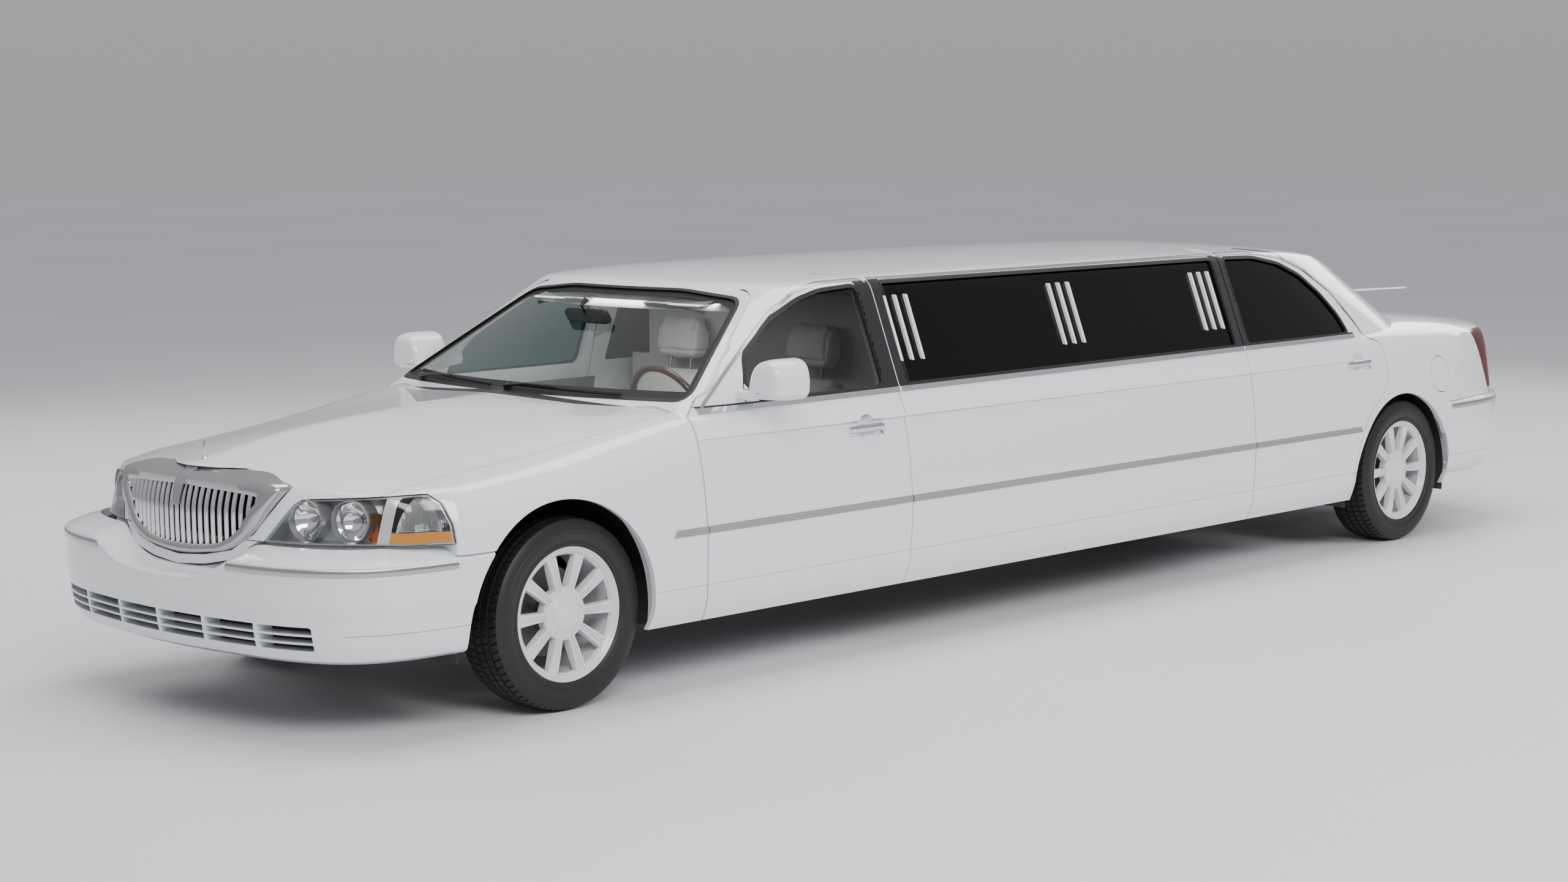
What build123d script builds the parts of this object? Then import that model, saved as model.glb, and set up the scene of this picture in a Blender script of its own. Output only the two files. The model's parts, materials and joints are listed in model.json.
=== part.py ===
from build123d import *
import os
from math import cos, radians, sin

os.makedirs("parts", exist_ok=True)

# A stretch limousine: a full-frame saloon with a long centre section let in between
# its front and rear doors. Millimetres, front towards -Y, the car's left side towards
# +X, ground at Z = 0, origin under the middle of the length.

# ---- driving sizes ----
wheelbase = 5529.0
front_overhang = 1140.0
rear_overhang = 1342.0
half_width = 991.0            # outer skin at the side moulding
front_track = 1610.0
rear_track = 1666.0

front_axle_y = front_overhang - (front_overhang + wheelbase + rear_overhang) / 2
rear_axle_y = front_axle_y + wheelbase
anchors = {"f": front_axle_y, "r": rear_axle_y}

# walls and gaps
door_wall = 90.0              # whole door or side wall below the belt
pillar_wall = 42.0            # door frame, pillars and roof with their lining
lid_wall = 32.0               # hood and trunk lid
bumper_wall = 70.0
glass = 5.0
glass_inset = 10.0            # glass lies this far inside the skin
gap = 7.0                     # shut line round a door or a lid
seat_gap = 0.3                # clearance where one piece is seated on another
door_rake = 0.25              # rear edge of a door runs forward by this share of its depth

# heights
rocker_z = 252.0
floor_z = 300.0
floor_sheet = 25.0
moulding_z = 598.0
belt_z = 1020.0
bumper_split_z = 672.0        # top of both bumpers
rail_z = 1460.0               # top of the side windows
roof_z = 1525.0

# wheels
tyre_radius = 351.5
tyre_width = 225.0
rim_radius = 245.0
rim_width = 196.0
spoke_count = 10
spindle_radius = 22.0
hub_radius = 75.0
cap_radius = 82.0
disc_radius = 165.0
spin_clearance = 0.5
arch_radius = 425.0
arch_shift = -30.0            # the arch centre lies this far ahead of the axle
arch_z = 338.0
well_radius = 455.0
well_lip = 22.0               # depth of the arch's turned edge
kingpin_x = 690.0

front_well_x = 500.0          # inner walls of the wheel wells
rear_well_x = 665.0

# lids, lamps and grille
hinge_pin = 3.3               # barrel that lies in the gap behind the hood or the lid
hinge_set = gap - hinge_pin + 0.3   # barrel centre from the lid's edge, sunk in the fixed edge
hinge_inner = 740.0
hood_rear_y = 585.0
hood_hinge_z = 1038.0
lid_hinge_inner = 630.0
lid_front_y = 415.0
lid_hinge_z = 1074.0
hood_half = 822.0
fender_inner = 560.0
lid_half = 705.0
lid_low_z = 705.0
roof_half = 738.0
pillar_strip = 30.0           # front pillar left between the windscreen and the door
tail_lamp_low_z = 700.0
grille_depth = 60.0
grille_rim = 40.0
grille_bars = 24
grille_bar = 13.0
intake_width = 1240.0
intake_z = 288.0
intake_columns = 8
intake_pitch = 36.0
intake_rib = 14.0
intake_slat = 12.0
plate_z = 860.0
plate_pad = (330.0, 170.0)
plate_spacing_x = 178.0
plate_spacing_z = 121.0
plate_hole = 7.0

# mirrors, handles, fuel flap
mirror_x = 1004.0
mirror_width = 146.0
handle_length = 200.0
handle_height = 34.0
handle_rows = [("door_front_left", "f", 1531, 902), ("door_rear_left", "r", -429, 915)]
flap_radius = 88.0
flap_gap = 5.0
flap_pin = 2.3
flap_set = flap_gap - flap_pin + 0.3
flap_hinge_x = 962.0
flap_lean = 10.6
flap_wall = 8.0
flap_z = 812.0

# chassis and floor
cradle_z = 290.0
gearbox_end = 1180.0
rail_x = 420.0
rail_width = 70.0
rail_height = 62.0
cross_height = 30.0
pipe_radius = 22.0
rail_low_z = 190.0
horn_z = 300.0
kick_z = 500.0
floor_half = 838.0
rear_floor_z = kick_z + rail_height + seat_gap
tunnel_half = 130.0
tunnel_z = 440.0

# hubs: the wheel's back face lies hub_set inside the middle of the tyre
hub_set = 20.0
hub_length = 110.0
hub_inner = front_track / 2 - hub_set
rim_back = -78.0
spoke_width = 46.0
stud_count = 5
stud_circle = 114.3
stud_hole = 14.0
wheel_x = 385.0
column_angle = 22.0

# ---- lower body: columns of each section ----
# anchor, y, crown z on the centre line, edge x, edge z, shoulder x, shoulder z, widest x
tub_rows = [
    ("f", -1190, 885, 800, 795, 925, 765, 966),
    ("f", -620, 950, 800, 862, 930, 830, 976),
    ("f", 0, 1000, 805, 938, 948, 868, 988),
    ("f", 600, 1052, 822, 1043, 942, 985, 991),
    ("f", 1000, 1040, 830, 1038, 938, 1010, 991),
    ("r", -400, 1060, 830, 1052, 935, 1015, 991),
    ("r", 300, 1102, 720, 1080, 915, 1010, 990),
    ("r", 1000, 1062, 700, 1030, 880, 965, 975),
    ("r", 1380, 1030, 690, 985, 860, 920, 965),
]
crease_z = 346.0
crease_in = 14.0
rocker_in = 62.0
side_bulge = 9.0

# ---- nose above the bumper: columns x, y at nose_low_z, y at nose_high_z ----
nose_low_z = 600.0
nose_high_z = 920.0
nose_rows = [(0, -1035, -985), (430, -1000, -893), (620, -945, -830), (800, -800, -705),
             (895, -680, -610), (950, -540, -480), (1000, -330, -270)]
# ---- front bumper in plan: columns x, y ----
bumper_rows = [(0, -1140), (400, -1110), (640, -1062), (800, -985), (890, -890),
               (945, -760), (972, -560), (1010, -250)]
# ---- tail above the bumper: columns x, y at tail_low_z, y at tail_high_z ----
tail_low_z = 600.0
tail_high_z = 1060.0
tail_rows = [(0, 1300, 1215), (500, 1258, 1175), (735, 1150, 1075), (850, 1015, 940),
             (925, 870, 790), (965, 640, 590), (1000, 330, 300)]
# ---- rear bumper in plan: columns x, y ----
rear_bumper_rows = [(0, 1342), (500, 1298), (745, 1185), (865, 1035), (935, 890),
                    (972, 680), (1010, 350)]

# ---- half width of the skin beside the doors: columns z, x ----
skin_rows = [(272, 950), (598, 991), (1020, 934), (1460, 763), (1500, 748)]

# ---- greenhouse rings: columns anchor, x at belt, y at belt, x at rail, y at rail ----
# the first and last rows are the middles of the windscreen and the rear window
cabin_rows = [("f", 0, 440, 0, 1165), ("f", 876, 590, 615, 1275), ("f", 915, 745, 740, 1330),
              ("f", 930, 1500, 763, 1760), ("r", 930, -1400, 763, -1300),
              ("r", 914, -420, 735, -760), ("r", 868, 60, 665, -520), ("r", 715, 335, 590, -345),
              ("r", 0, 490, 0, -270)]
cabin_low_z = 1000.0

# ---- side openings in side view: anchor, y, z ----
front_door_rows = [("f", 628, 272), ("f", 606, 1004), ("f", 700, 1075), ("f", 960, 1240),
                   ("f", 1195, 1390), ("f", 1340, 1460), ("f", 1480, 1490), ("f", 1768, 1494),
                   ("f", 1771, 1020), ("f", 1774, 272)]
front_glass_rows = [("f", 900, 1046), ("f", 985, 1212), ("f", 1160, 1332), ("f", 1345, 1410),
                    ("f", 1470, 1438), ("f", 1685, 1450), ("f", 1685, 1046)]
rear_door_rows = [("r", -1349, 272), ("r", -1349, 1496), ("r", -1060, 1492), ("r", -830, 1462),
                  ("r", -620, 1390), ("r", -440, 1275), ("r", -330, 1130), ("r", -275, 1030),
                  ("r", -178, 1005), ("r", -165, 850), ("r", -215, 770), ("r", -400, 640),
                  ("r", -490, 450), ("r", -500, 272)]
rear_glass_rows = [("r", -1310, 1056), ("r", -1310, 1455), ("r", -1060, 1450), ("r", -850, 1412),
                   ("r", -690, 1350), ("r", -560, 1255), ("r", -470, 1150), ("r", -430, 1056)]
side_glass_rows = [("f", 1830, 1048), ("f", 1830, 1455), ("r", -1400, 1455), ("r", -1400, 1056)]
screen_rows = [(842, 1064), (612, 1412), (320, 1440), (-320, 1440), (-612, 1412), (-842, 1064)]
backlight_rows = [(668, 1112), (565, 1400), (-565, 1400), (-668, 1112)]

# ---- front view outlines: x, z ----
grille_rows = [(452, 862), (395, 770), (300, 672), (170, 620)]
grille_top_z = 912.0
grille_bottom_z = 604.0
lamp_rows = [(428, 684), (560, 822), (700, 838), (975, 846), (1000, 700), (800, 684)]
lamp_back_y = -510.0
lamp_wall = 130.0


def at(anchor, y):
    """Y of a place given from the front or the rear axle."""
    return anchors[anchor] + y


def tubSection(row, inset, drop):
    """One closed section of the lower body, drawn in by the inset."""
    anchor, y, crown, edge_x, edge_z, shoulder_x, shoulder_z, wide_x = row
    y = at(anchor, y)
    wide = wide_x + half_width - 991.0 - inset
    edge = (edge_x - inset * 0.4, edge_z - drop)
    shoulder = (shoulder_x + half_width - 991.0 - inset, shoulder_z - drop)
    middle = ((edge[0] + shoulder[0]) / 2 + 14, (edge[1] + shoulder[1]) / 2 + 12)
    low = rocker_z + drop * 0.5
    right = [edge, shoulder, (wide, moulding_z), (wide - crease_in, crease_z),
             (wide + crease_in - rocker_in, low)]
    crown -= drop
    edges = [ThreePointArc((-edge[0], y, edge[1]), (0, y, crown), (edge[0], y, edge[1]))]
    for side in (1, -1):
        def point(xz):
            return (side * xz[0], y, xz[1])
        bow = (right[1][0] + right[2][0]) / 2 + side_bulge
        bow_z = (right[1][1] + right[2][1]) / 2
        run = [ThreePointArc(point(right[0]), point(middle), point(right[1])),
               ThreePointArc(point(right[1]), point((bow, bow_z)), point(right[2])),
               Line(point(right[2]), point(right[3])),
               Line(point(right[3]), point(right[4]))]
        if side == 1:
            edges += run + [Line(point(right[4]), (-right[4][0], y, low))]
        else:
            edges += run[::-1]
    return Wire(edges)


def tub(inset=0.0, drop=0.0):
    """The lower body from bumper to bumper as one closed form."""
    return Part() + Solid.make_loft([tubSection(r, inset, drop) for r in tub_rows], ruled=True)


def ring(points, z):
    """A closed outline at one height: a curve through the middle, mirrored in X."""
    first, last = points[0], points[-1]
    a, b = points[1], points[-2]
    edges = [ThreePointArc((-a[0], a[1], z), (0, first[1], z), (a[0], a[1], z))]
    for p, q in zip(points[1:-2], points[2:-1]):
        edges.append(Line((p[0], p[1], z), (q[0], q[1], z)))
    edges.append(ThreePointArc((b[0], b[1], z), (0, last[1], z), (-b[0], b[1], z)))
    for p, q in list(zip(points[1:-2], points[2:-1]))[::-1]:
        edges.append(Line((-q[0], q[1], z), (-p[0], p[1], z)))
    return Wire(edges)


def cabin(inset=0.0):
    """The greenhouse with its leaning sides, cut to the crown of the roof."""
    rise = (roof_z + 40 - cabin_low_z) / (rail_z - belt_z)
    rings = []
    for t, z in ((cabin_low_z - belt_z) / (rail_z - belt_z), cabin_low_z), (None, roof_z + 40):
        if t is None:
            t = (roof_z + 40 - belt_z) / (rail_z - belt_z)
        points = []
        for i, (anchor, x0, y0, x1, y1) in enumerate(cabin_rows):
            forward = i <= 2
            pull = inset if forward else (-inset if i >= len(cabin_rows) - 3 else 0)
            pull *= 1.5 if i in (0, 1, len(cabin_rows) - 1, len(cabin_rows) - 2) else 0.6
            x = x0 + (x1 - x0) * t
            y = y0 + (y1 - y0) * t
            points.append((max(x - inset, 0) if x0 else 0, at(anchor, y) + pull))
        rings.append(ring(points, z))
    body = Part() + Solid.make_loft(rings, ruled=True)
    top = roof_z - inset
    y0, y1 = at("f", -200), at("r", 900)
    side = [(y0, 900), (y0, top - 180), (at("f", 1120), top - 60)]
    outline = [Line((0, *side[0]), (0, *side[1])), Line((0, *side[1]), (0, *side[2])),
               ThreePointArc((0, *side[2]), (0, at("f", 1500), top - 17), (0, at("f", 2100), top)),
               Line((0, at("f", 2100), top), (0, at("r", -1330), top - 12)),
               ThreePointArc((0, at("r", -1330), top - 12), (0, at("r", -680), top - 32),
                             (0, at("r", -250), top - 88)),
               Line((0, at("r", -250), top - 88), (0, y1, top - 420)),
               Line((0, y1, top - 420), (0, y1, 900)), Line((0, y1, 900), (0, *side[0]))]
    profile = Solid.extrude(Face(Wire(outline)), Vector(2400, 0, 0)).moved(Location((-1200, 0, 0)))
    hip = (820 - inset, rail_z - 90 - inset)
    eave = (690 - inset, roof_z - 30 - inset)
    bow = (770 - inset, rail_z + 8 - inset)
    crown = [ThreePointArc((-eave[0], y0, eave[1]), (0, y0, top), (eave[0], y0, eave[1])),
             ThreePointArc((eave[0], y0, eave[1]), (bow[0], y0, bow[1]), (hip[0], y0, hip[1])),
             Line((hip[0], y0, hip[1]), (1200, y0, 900)), Line((1200, y0, 900), (-1200, y0, 900)),
             Line((-1200, y0, 900), (-hip[0], y0, hip[1])),
             ThreePointArc((-hip[0], y0, hip[1]), (-bow[0], y0, bow[1]), (-eave[0], y0, eave[1]))]
    section = Solid.extrude(Face(Wire(crown)), Vector(0, y1 - y0, 0))
    return body & (Part() + profile) & (Part() + section)


def planOutline(rows, anchor, column, inset, back, z):
    """Half plan outline mirrored and closed along the line y = back."""
    toward = 1 if anchor == "f" else -1
    pts = [(x - (inset if x else 0), at(anchor, row[column]) + toward * inset)
           for row in rows for x in (row[0],)]
    pts = [(max(x, 0), y) for x, y in pts]
    a = pts[1]
    edges = [ThreePointArc((-a[0], a[1], z), (0, pts[0][1], z), (a[0], a[1], z))]
    chain = pts[1:] + [(pts[-1][0], back)]
    edges += [Line((p[0], p[1], z), (q[0], q[1], z)) for p, q in zip(chain, chain[1:])]
    edges.append(Line((chain[-1][0], back, z), (-chain[-1][0], back, z)))
    edges += [Line((-q[0], q[1], z), (-p[0], p[1], z))
              for p, q in list(zip(chain, chain[1:]))[::-1]]
    return Wire(edges)


def endVolume(rows, anchor, z0, z1, back, inset=0.0):
    """The leaning end of the body above a bumper, from its two plan outlines."""
    lower, upper = rocker_z - 100, z1 + 200
    slope = [(b - a) / (z1 - z0) for x, a, b in rows]
    low_rows = [(r[0], r[1] + s * (lower - z0)) for r, s in zip(rows, slope)]
    high_rows = [(r[0], r[1] + s * (upper - z0)) for r, s in zip(rows, slope)]
    wires = [planOutline(low_rows, anchor, 1, inset, back, lower),
             planOutline(high_rows, anchor, 1, inset, back, upper)]
    return Part() + Solid.make_loft(wires, ruled=True)


def prism(points, axis, low, high):
    """A straight prism: points are (y, z) for axis X, (x, z) for Y and (x, y) for Z."""
    if axis == "x":
        corners, along = [(low, p[0], p[1]) for p in points], Vector(high - low, 0, 0)
    elif axis == "y":
        corners, along = [(p[0], low, p[1]) for p in points], Vector(0, high - low, 0)
    else:
        corners, along = [(p[0], p[1], low) for p in points], Vector(0, 0, high - low)
    face = Face(Wire.make_polygon([Vector(*c) for c in corners], close=True))
    return Part() + Solid.extrude(face, along)


def grown(points, by):
    """The same outline moved out by a distance, corners kept sharp."""
    turns = sum(p[0] * q[1] - q[0] * p[1] for p, q in zip(points, points[1:] + points[:1]))
    out = by if turns > 0 else -by
    moved = []
    for before, here, after in zip(points[-1:] + points[:-1], points, points[1:] + points[:1]):
        a = (Vector(*here) - Vector(*before)).normalized()
        b = (Vector(*after) - Vector(*here)).normalized()
        normal = Vector(a.Y + b.Y, -a.X - b.X)
        reach = out / (normal.dot(Vector(a.Y, -a.X)))
        moved.append((here[0] + normal.X * reach, here[1] + normal.Y * reach))
    return moved


def skinX(z):
    """Half width of the body side at a height."""
    for (z0, x0), (z1, x1) in zip(skin_rows, skin_rows[1:]):
        if z <= z1 or z1 == skin_rows[-1][0]:
            return x0 + (x1 - x0) * (z - z0) / (z1 - z0)


def sideCutter(rows, by=0.0, rake=0.0, inner=560.0, outer=1100.0):
    """A cutter through the left side; its rear edge rakes forward with depth."""
    points = [(at(r[0], r[1]), r[2]) for r in rows]
    if by:
        points = grown(points, by)
    if not rake:
        return prism(points, "x", inner, outer)
    middle = (min(p[0] for p in points) + max(p[0] for p in points)) / 2
    wires = []
    for x in (inner, outer):
        raked = [(y + (rake * (x - skinX(z)) if y > middle else 0), z) for y, z in points]
        wires.append(Wire.make_polygon([Vector(x, *p) for p in raked], close=True))
    return Part() + Solid.make_loft(wires, ruled=True)


def both(part):
    """The piece and its mirror image on the other side."""
    return part + part.mirror(Plane.YZ)


def largest(part):
    """The main solid of a cut, without the slivers a cut leaves."""
    return Part() + max(part.solids(), key=lambda solid: solid.volume)


def box(x0, x1, y0, y1, z0, z1):
    """A block between two corners."""
    return Part() + Solid.make_box(x1 - x0, y1 - y0, z1 - z0).moved(Location((x0, y0, z0)))


def rod(radius, start, axis, length):
    """A round bar from a point along an axis."""
    return Part() + Solid.make_cylinder(radius, length, Plane(origin=start, z_dir=axis))


pieces = {}


def keep(name, part):
    """Store a piece under its node name."""
    part.label = name
    pieces[name] = part


# ---- envelopes ----
far_front = at("f", -1400)
far_rear = at("r", 1700)


def noseForm(inset=0.0):
    return endVolume(nose_rows, "f", nose_low_z, nose_high_z, far_rear, inset)


def tailForm(inset=0.0):
    return endVolume(tail_rows, "r", tail_low_z, tail_high_z, far_front, inset)


def lowerForm(inset=0.0, drop=0.0):
    return tub(inset, drop) & noseForm(inset) & tailForm(inset)


lower_outer = lowerForm()
lower_inner = lowerForm(door_wall, 35.0)
upper_outer = cabin()
upper_inner = cabin(pillar_wall)
wall = (lower_outer + upper_outer) - (lower_inner + upper_inner)
lid_shell = lower_outer - lowerForm(lid_wall, lid_wall)
pane = cabin(glass_inset) - cabin(glass_inset + glass)


# ---- wheel openings ----
def archCutter(anchor, inner):
    """Opening for a wheel on the left: the lip and the wider well behind it."""
    y = at(anchor, arch_shift)
    lip = rod(arch_radius, (inner, y, arch_z), (1, 0, 0), 1200 - inner)
    well = rod(well_radius, (inner, y, arch_z), (1, 0, 0), half_width - well_lip - inner)
    return lip + well


front_arch = both(archCutter("f", front_well_x))
rear_arch = both(archCutter("r", rear_well_x))

# ---- shut lines ----
hood_plan = [(0, at("f", 405)), (430, at("f", 462)), (hinge_inner, at("f", hood_rear_y)),
             (hood_half, at("f", hood_rear_y)),
             (hood_half - 18, at("f", 0)), (hood_half - 24, far_front), (0, far_front)]
lid_plan = [(0, at("r", 512)), (430, at("r", 480)), (lid_hinge_inner, at("r", lid_front_y)),
            (lid_half, at("r", lid_front_y)),
            (lid_half - 8, at("r", 900)), (lid_half - 20, far_rear), (0, far_rear)]


def planCutter(points, by, low, high):
    """A plan outline mirrored in X, moved in or out and raised to a prism."""
    loop = points + [(-x, y) for x, y in points[::-1] if x]
    return prism(grown(loop, by) if by else loop, "z", low, high)


def frontCutter(points, by, y0, y1):
    """A front view outline, moved in or out, run along the car."""
    return prism(grown(points, by) if by else points, "y", y0, y1)


grille_outline = [(grille_rows[0][0], grille_rows[0][1]), *grille_rows[1:], (0, grille_bottom_z),
                  *[(-x, z) for x, z in grille_rows[::-1]], (0, grille_top_z)]
lamp_right = [(-x, z) for x, z in lamp_rows]
hood_zone = planCutter(hood_plan, 0, bumper_split_z + gap, 1300)
hood_hole = planCutter(hood_plan, gap, bumper_split_z - 40, 1300)
lid_zone = planCutter(lid_plan, 0, lid_low_z, 1300)
lid_hole = planCutter(lid_plan, gap, lid_low_z - gap, 1300)
grille_hole = frontCutter(grille_outline, gap, far_front, at("f", -700))
grille_seat = frontCutter(grille_outline, seat_gap, far_front, at("f", -700))


def lampCutter(by):
    """The place of both headlamps, grown by a gap."""
    back = at("f", lamp_back_y) + by
    return frontCutter(lamp_rows, by, far_front, back) + frontCutter(lamp_right, by, far_front, back)


tail_lamp_side = [(at("r", 770), 1010), (at("r", 850), tail_lamp_low_z), (far_rear, tail_lamp_low_z),
                  (far_rear, 1010)]
tail_lamp_zone = both(prism(tail_lamp_side, "x", lid_half + gap + 5, 1100))
tail_lamp_hole = both(prism(grown(tail_lamp_side, seat_gap), "x", lid_half + gap + 5 - seat_gap, 1100))

roof_zone = box(-roof_half, roof_half, at("f", 1100), at("r", -150), 1415, 1600)
roof_hole = box(-roof_half - gap, roof_half + gap, at("f", 1000), at("r", 0), 1415, 1600)
header = frontCutter(screen_rows, pillar_strip, at("f", 300), at("f", 1500))
header_hole = frontCutter(screen_rows, pillar_strip - gap, at("f", 300), at("f", 1500))
door_front = sideCutter(front_door_rows, -gap / 2, door_rake) - header - roof_hole
door_front_hole = sideCutter(front_door_rows, gap / 2, door_rake) - header_hole
door_rear = sideCutter(rear_door_rows, -gap / 2, door_rake) - roof_hole
door_rear_hole = sideCutter(rear_door_rows, gap / 2, door_rake)
window_front = sideCutter(front_glass_rows)
window_rear = sideCutter(rear_glass_rows)
window_side = sideCutter(side_glass_rows)
screen_hole = prism(screen_rows, "y", at("f", 300), at("f", 1500))
backlight_hole = prism(backlight_rows, "y", at("r", -700), at("r", 700))

# ---- hood, trunk lid, roof, fenders ----
keep("hood", (lid_shell & hood_zone) - grille_hole - lampCutter(gap))
lid_plate = box(-plate_pad[0] / 2, plate_pad[0] / 2, at("r", 1190), at("r", 1268),
                plate_z - plate_pad[1] / 2, plate_z + plate_pad[1] / 2)
lid = (lid_shell & lid_zone) + (lid_plate - tailForm(lid_wall))
for px in (-plate_spacing_x / 2, plate_spacing_x / 2):
    for pz in (-plate_spacing_z / 2, plate_spacing_z / 2):
        lid -= rod(plate_hole / 2, (px, at("r", 1300), plate_z + pz), (0, -1, 0), 50)
keep("trunk_lid", lid)
cowl_zone = prism([(at("f", 380), 900), (at("f", 380), 1200), (at("f", 690), 1200),
                   (at("f", 690), 900)], "x", -1100, 1100)
pillars = (wall & header_hole) - cowl_zone
keep("roof", (wall & roof_zone) + pillars - screen_hole - backlight_hole)
fender_side = [(far_front, bumper_split_z + seat_gap), (at("f", -400), bumper_split_z + seat_gap),
               (at("f", -400), 200), (at("f", 628 - gap), 200), (at("f", 606 - gap), 1004),
               (at("f", 606 - gap), 1200), (far_front, 1200)]
fender_zone = prism(fender_side, "x", fender_inner, 1100)
fender_zone -= box(0, hood_half + gap, at("f", hood_rear_y), at("f", 700), 900, 1200)
fenders = (wall & fender_zone) - front_arch - hood_hole
fenders = fenders - lampCutter(seat_gap) - screen_hole
keep("fender_left", fenders - grille_hole)
keep("fender_right", pieces["fender_left"].mirror(Plane.YZ))

# ---- body sides ----
side_zone = [(at("f", 628), 200), (at("f", 606), 1004), (at("f", 606), 1600), (far_rear, 1600),
             (far_rear, bumper_split_z + seat_gap), (at("r", 380), bumper_split_z + seat_gap),
             (at("r", 380), 200)]
side = (wall & prism(side_zone, "x", 200, 1100)) - box(0, floor_half + seat_gap, far_front, far_rear, 0, floor_z + 30)
side = side - roof_zone - door_front_hole - door_rear_hole - window_side - rear_arch
side = side - lid_hole - tail_lamp_hole - screen_hole - backlight_hole
side = largest(side - cowl_zone - header_hole)
side += rod(hinge_pin, (lid_hinge_inner + 5, at("r", lid_front_y) - hinge_set, lid_hinge_z), (1, 0, 0),
            lid_half - lid_hinge_inner - 10)
keep("body_side_left", side)
keep("body_side_right", side.mirror(Plane.YZ))
cowl = (wall & cowl_zone) - hood_hole - both(door_front_hole) - screen_hole
cowl = largest(cowl - both(fender_zone))
for side_x in (hinge_inner + 5, -hood_half + 5):
    cowl += rod(hinge_pin, (side_x, at("f", hood_rear_y) + hinge_set, hood_hinge_z), (1, 0, 0),
                hood_half - hinge_inner - 10)
keep("cowl", cowl)

# ---- doors and glass ----
for name, form, opening in (("front", door_front, window_front), ("rear", door_rear, window_rear)):
    door = (wall & form) - opening
    if name == "rear":
        door -= rear_arch
    keep(f"door_{name}_left", door)
    keep(f"door_glass_{name}_left", pane & opening)
keep("side_glass", both(pane & window_side))
keep("windscreen", pane & screen_hole)
keep("rear_window", pane & backlight_hole)

# ---- bumpers ----
def bumper(rows, anchor, low, high, end_y, arches):
    """A bumper shell with its top ledge, cut to the wheel opening."""
    other = far_rear if anchor == "f" else far_front
    def form(inset, top):
        wire = planOutline([(x, y) for x, y in rows], anchor, 1, inset, other, low - 1)
        return Part() + Solid.extrude(Face(wire), Vector(0, 0, top - low + 1))
    y_range = sorted((at(anchor, end_y), far_front if anchor == "f" else far_rear))
    zone = box(-1100, 1100, *y_range, low, high)
    shell = ((tub() & form(0, high)) - (tub(bumper_wall, 0) & form(bumper_wall, high - 36))) & zone
    inside = noseForm(door_wall) if anchor == "f" else tailForm(door_wall)
    return shell - (tub(door_wall) & inside & box(-1100, 1100, *y_range, high - 50, high + 10))


front_bumper = bumper(bumper_rows, "f", rocker_z - 10, bumper_split_z, -400, front_arch) - front_arch
scoop = [(-390, 720), (-330, 600), (-200, 545), (0, 520), (200, 545), (330, 600), (390, 720)]
front_bumper -= prism(scoop, "y", far_front, at("f", -1045))
front_bumper = front_bumper - grille_seat - lampCutter(seat_gap)
slot_w = intake_width / intake_columns
for row in range(3):
    for col in range(intake_columns):
        x0 = -intake_width / 2 + col * slot_w + intake_rib / 2
        z0 = intake_z + row * intake_pitch
        front_bumper -= box(x0, x0 + slot_w - intake_rib, far_front, at("f", -850), z0,
                            z0 + intake_pitch - intake_slat)
keep("front_bumper", front_bumper)
rear_bumper = bumper(rear_bumper_rows, "r", rocker_z + 10, bumper_split_z, 380, rear_arch) - rear_arch
keep("rear_bumper", rear_bumper)

# ---- lamps and grille ----
lamp_shell = lower_outer - lowerForm(lamp_wall, 0)
keep("headlamps", lamp_shell & lampCutter(0))
keep("tail_lamps", (lower_outer - lowerForm(60, 0)) & tail_lamp_zone)
nose_face = tub(0, 0) & noseForm(0)
grille_block = (nose_face - noseForm(grille_depth)) & frontCutter(grille_outline, 0, far_front, at("f", -700))
window = frontCutter(grille_outline, -grille_rim, far_front, at("f", -700))
opening = grille_block & window
bars = Part()
bar_pitch = 2 * grille_rows[0][0] / grille_bars
for n in range(grille_bars):
    x = (n + 0.5 - grille_bars / 2) * bar_pitch
    bars += box(x - grille_bar / 2, x + grille_bar / 2, far_front, at("f", -700), 560, 960)
recess = opening - noseForm(grille_depth - 12)
keep("grille", (grille_block - recess) + ((recess & bars) & noseForm(8)))

# ---- mirrors and handles, carried by the doors ----
mirror_house = box(mirror_x, mirror_x + mirror_width, at("f", 845), at("f", 1005), 1062, 1212)
mirror_house = fillet(mirror_house.edges(), 45)
mirror_arm = box(880, mirror_x + 60, at("f", 846), at("f", 892), 1058, 1096) - cabin(glass_inset)
pieces["door_front_left"] += mirror_house + mirror_arm
for name, anchor, y, z in handle_rows:
    grip = box(925, 1008, at(anchor, y) - handle_length / 2, at(anchor, y) + handle_length / 2,
               z - handle_height / 2, z + handle_height / 2)
    grip = fillet(grip.edges(), 9)
    pieces[name] += grip - tub(door_wall / 2)
for name in ("door_front", "door_rear", "door_glass_front", "door_glass_rear"):
    keep(f"{name}_right", pieces[f"{name}_left"].mirror(Plane.YZ))

# ---- fuel flap in the left rear quarter ----
flap_y = at("r", 320)
flap = rod(flap_radius, (800, flap_y, flap_z), (1, 0, 0), 400)
flap_hole = rod(flap_radius + flap_gap, (880, flap_y, flap_z), (1, 0, 0), 320)
keep("fuel_flap", (lower_outer - lowerForm(flap_wall, flap_wall)) & flap)
pieces["body_side_left"] -= flap_hole
lean = radians(flap_lean)
pieces["body_side_left"] += rod(flap_pin, (flap_hinge_x + 6 * sin(lean), flap_y - flap_radius - flap_set,
                                      flap_z - 6 * cos(lean)), (-sin(lean), 0, cos(lean)), 12)

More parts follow.
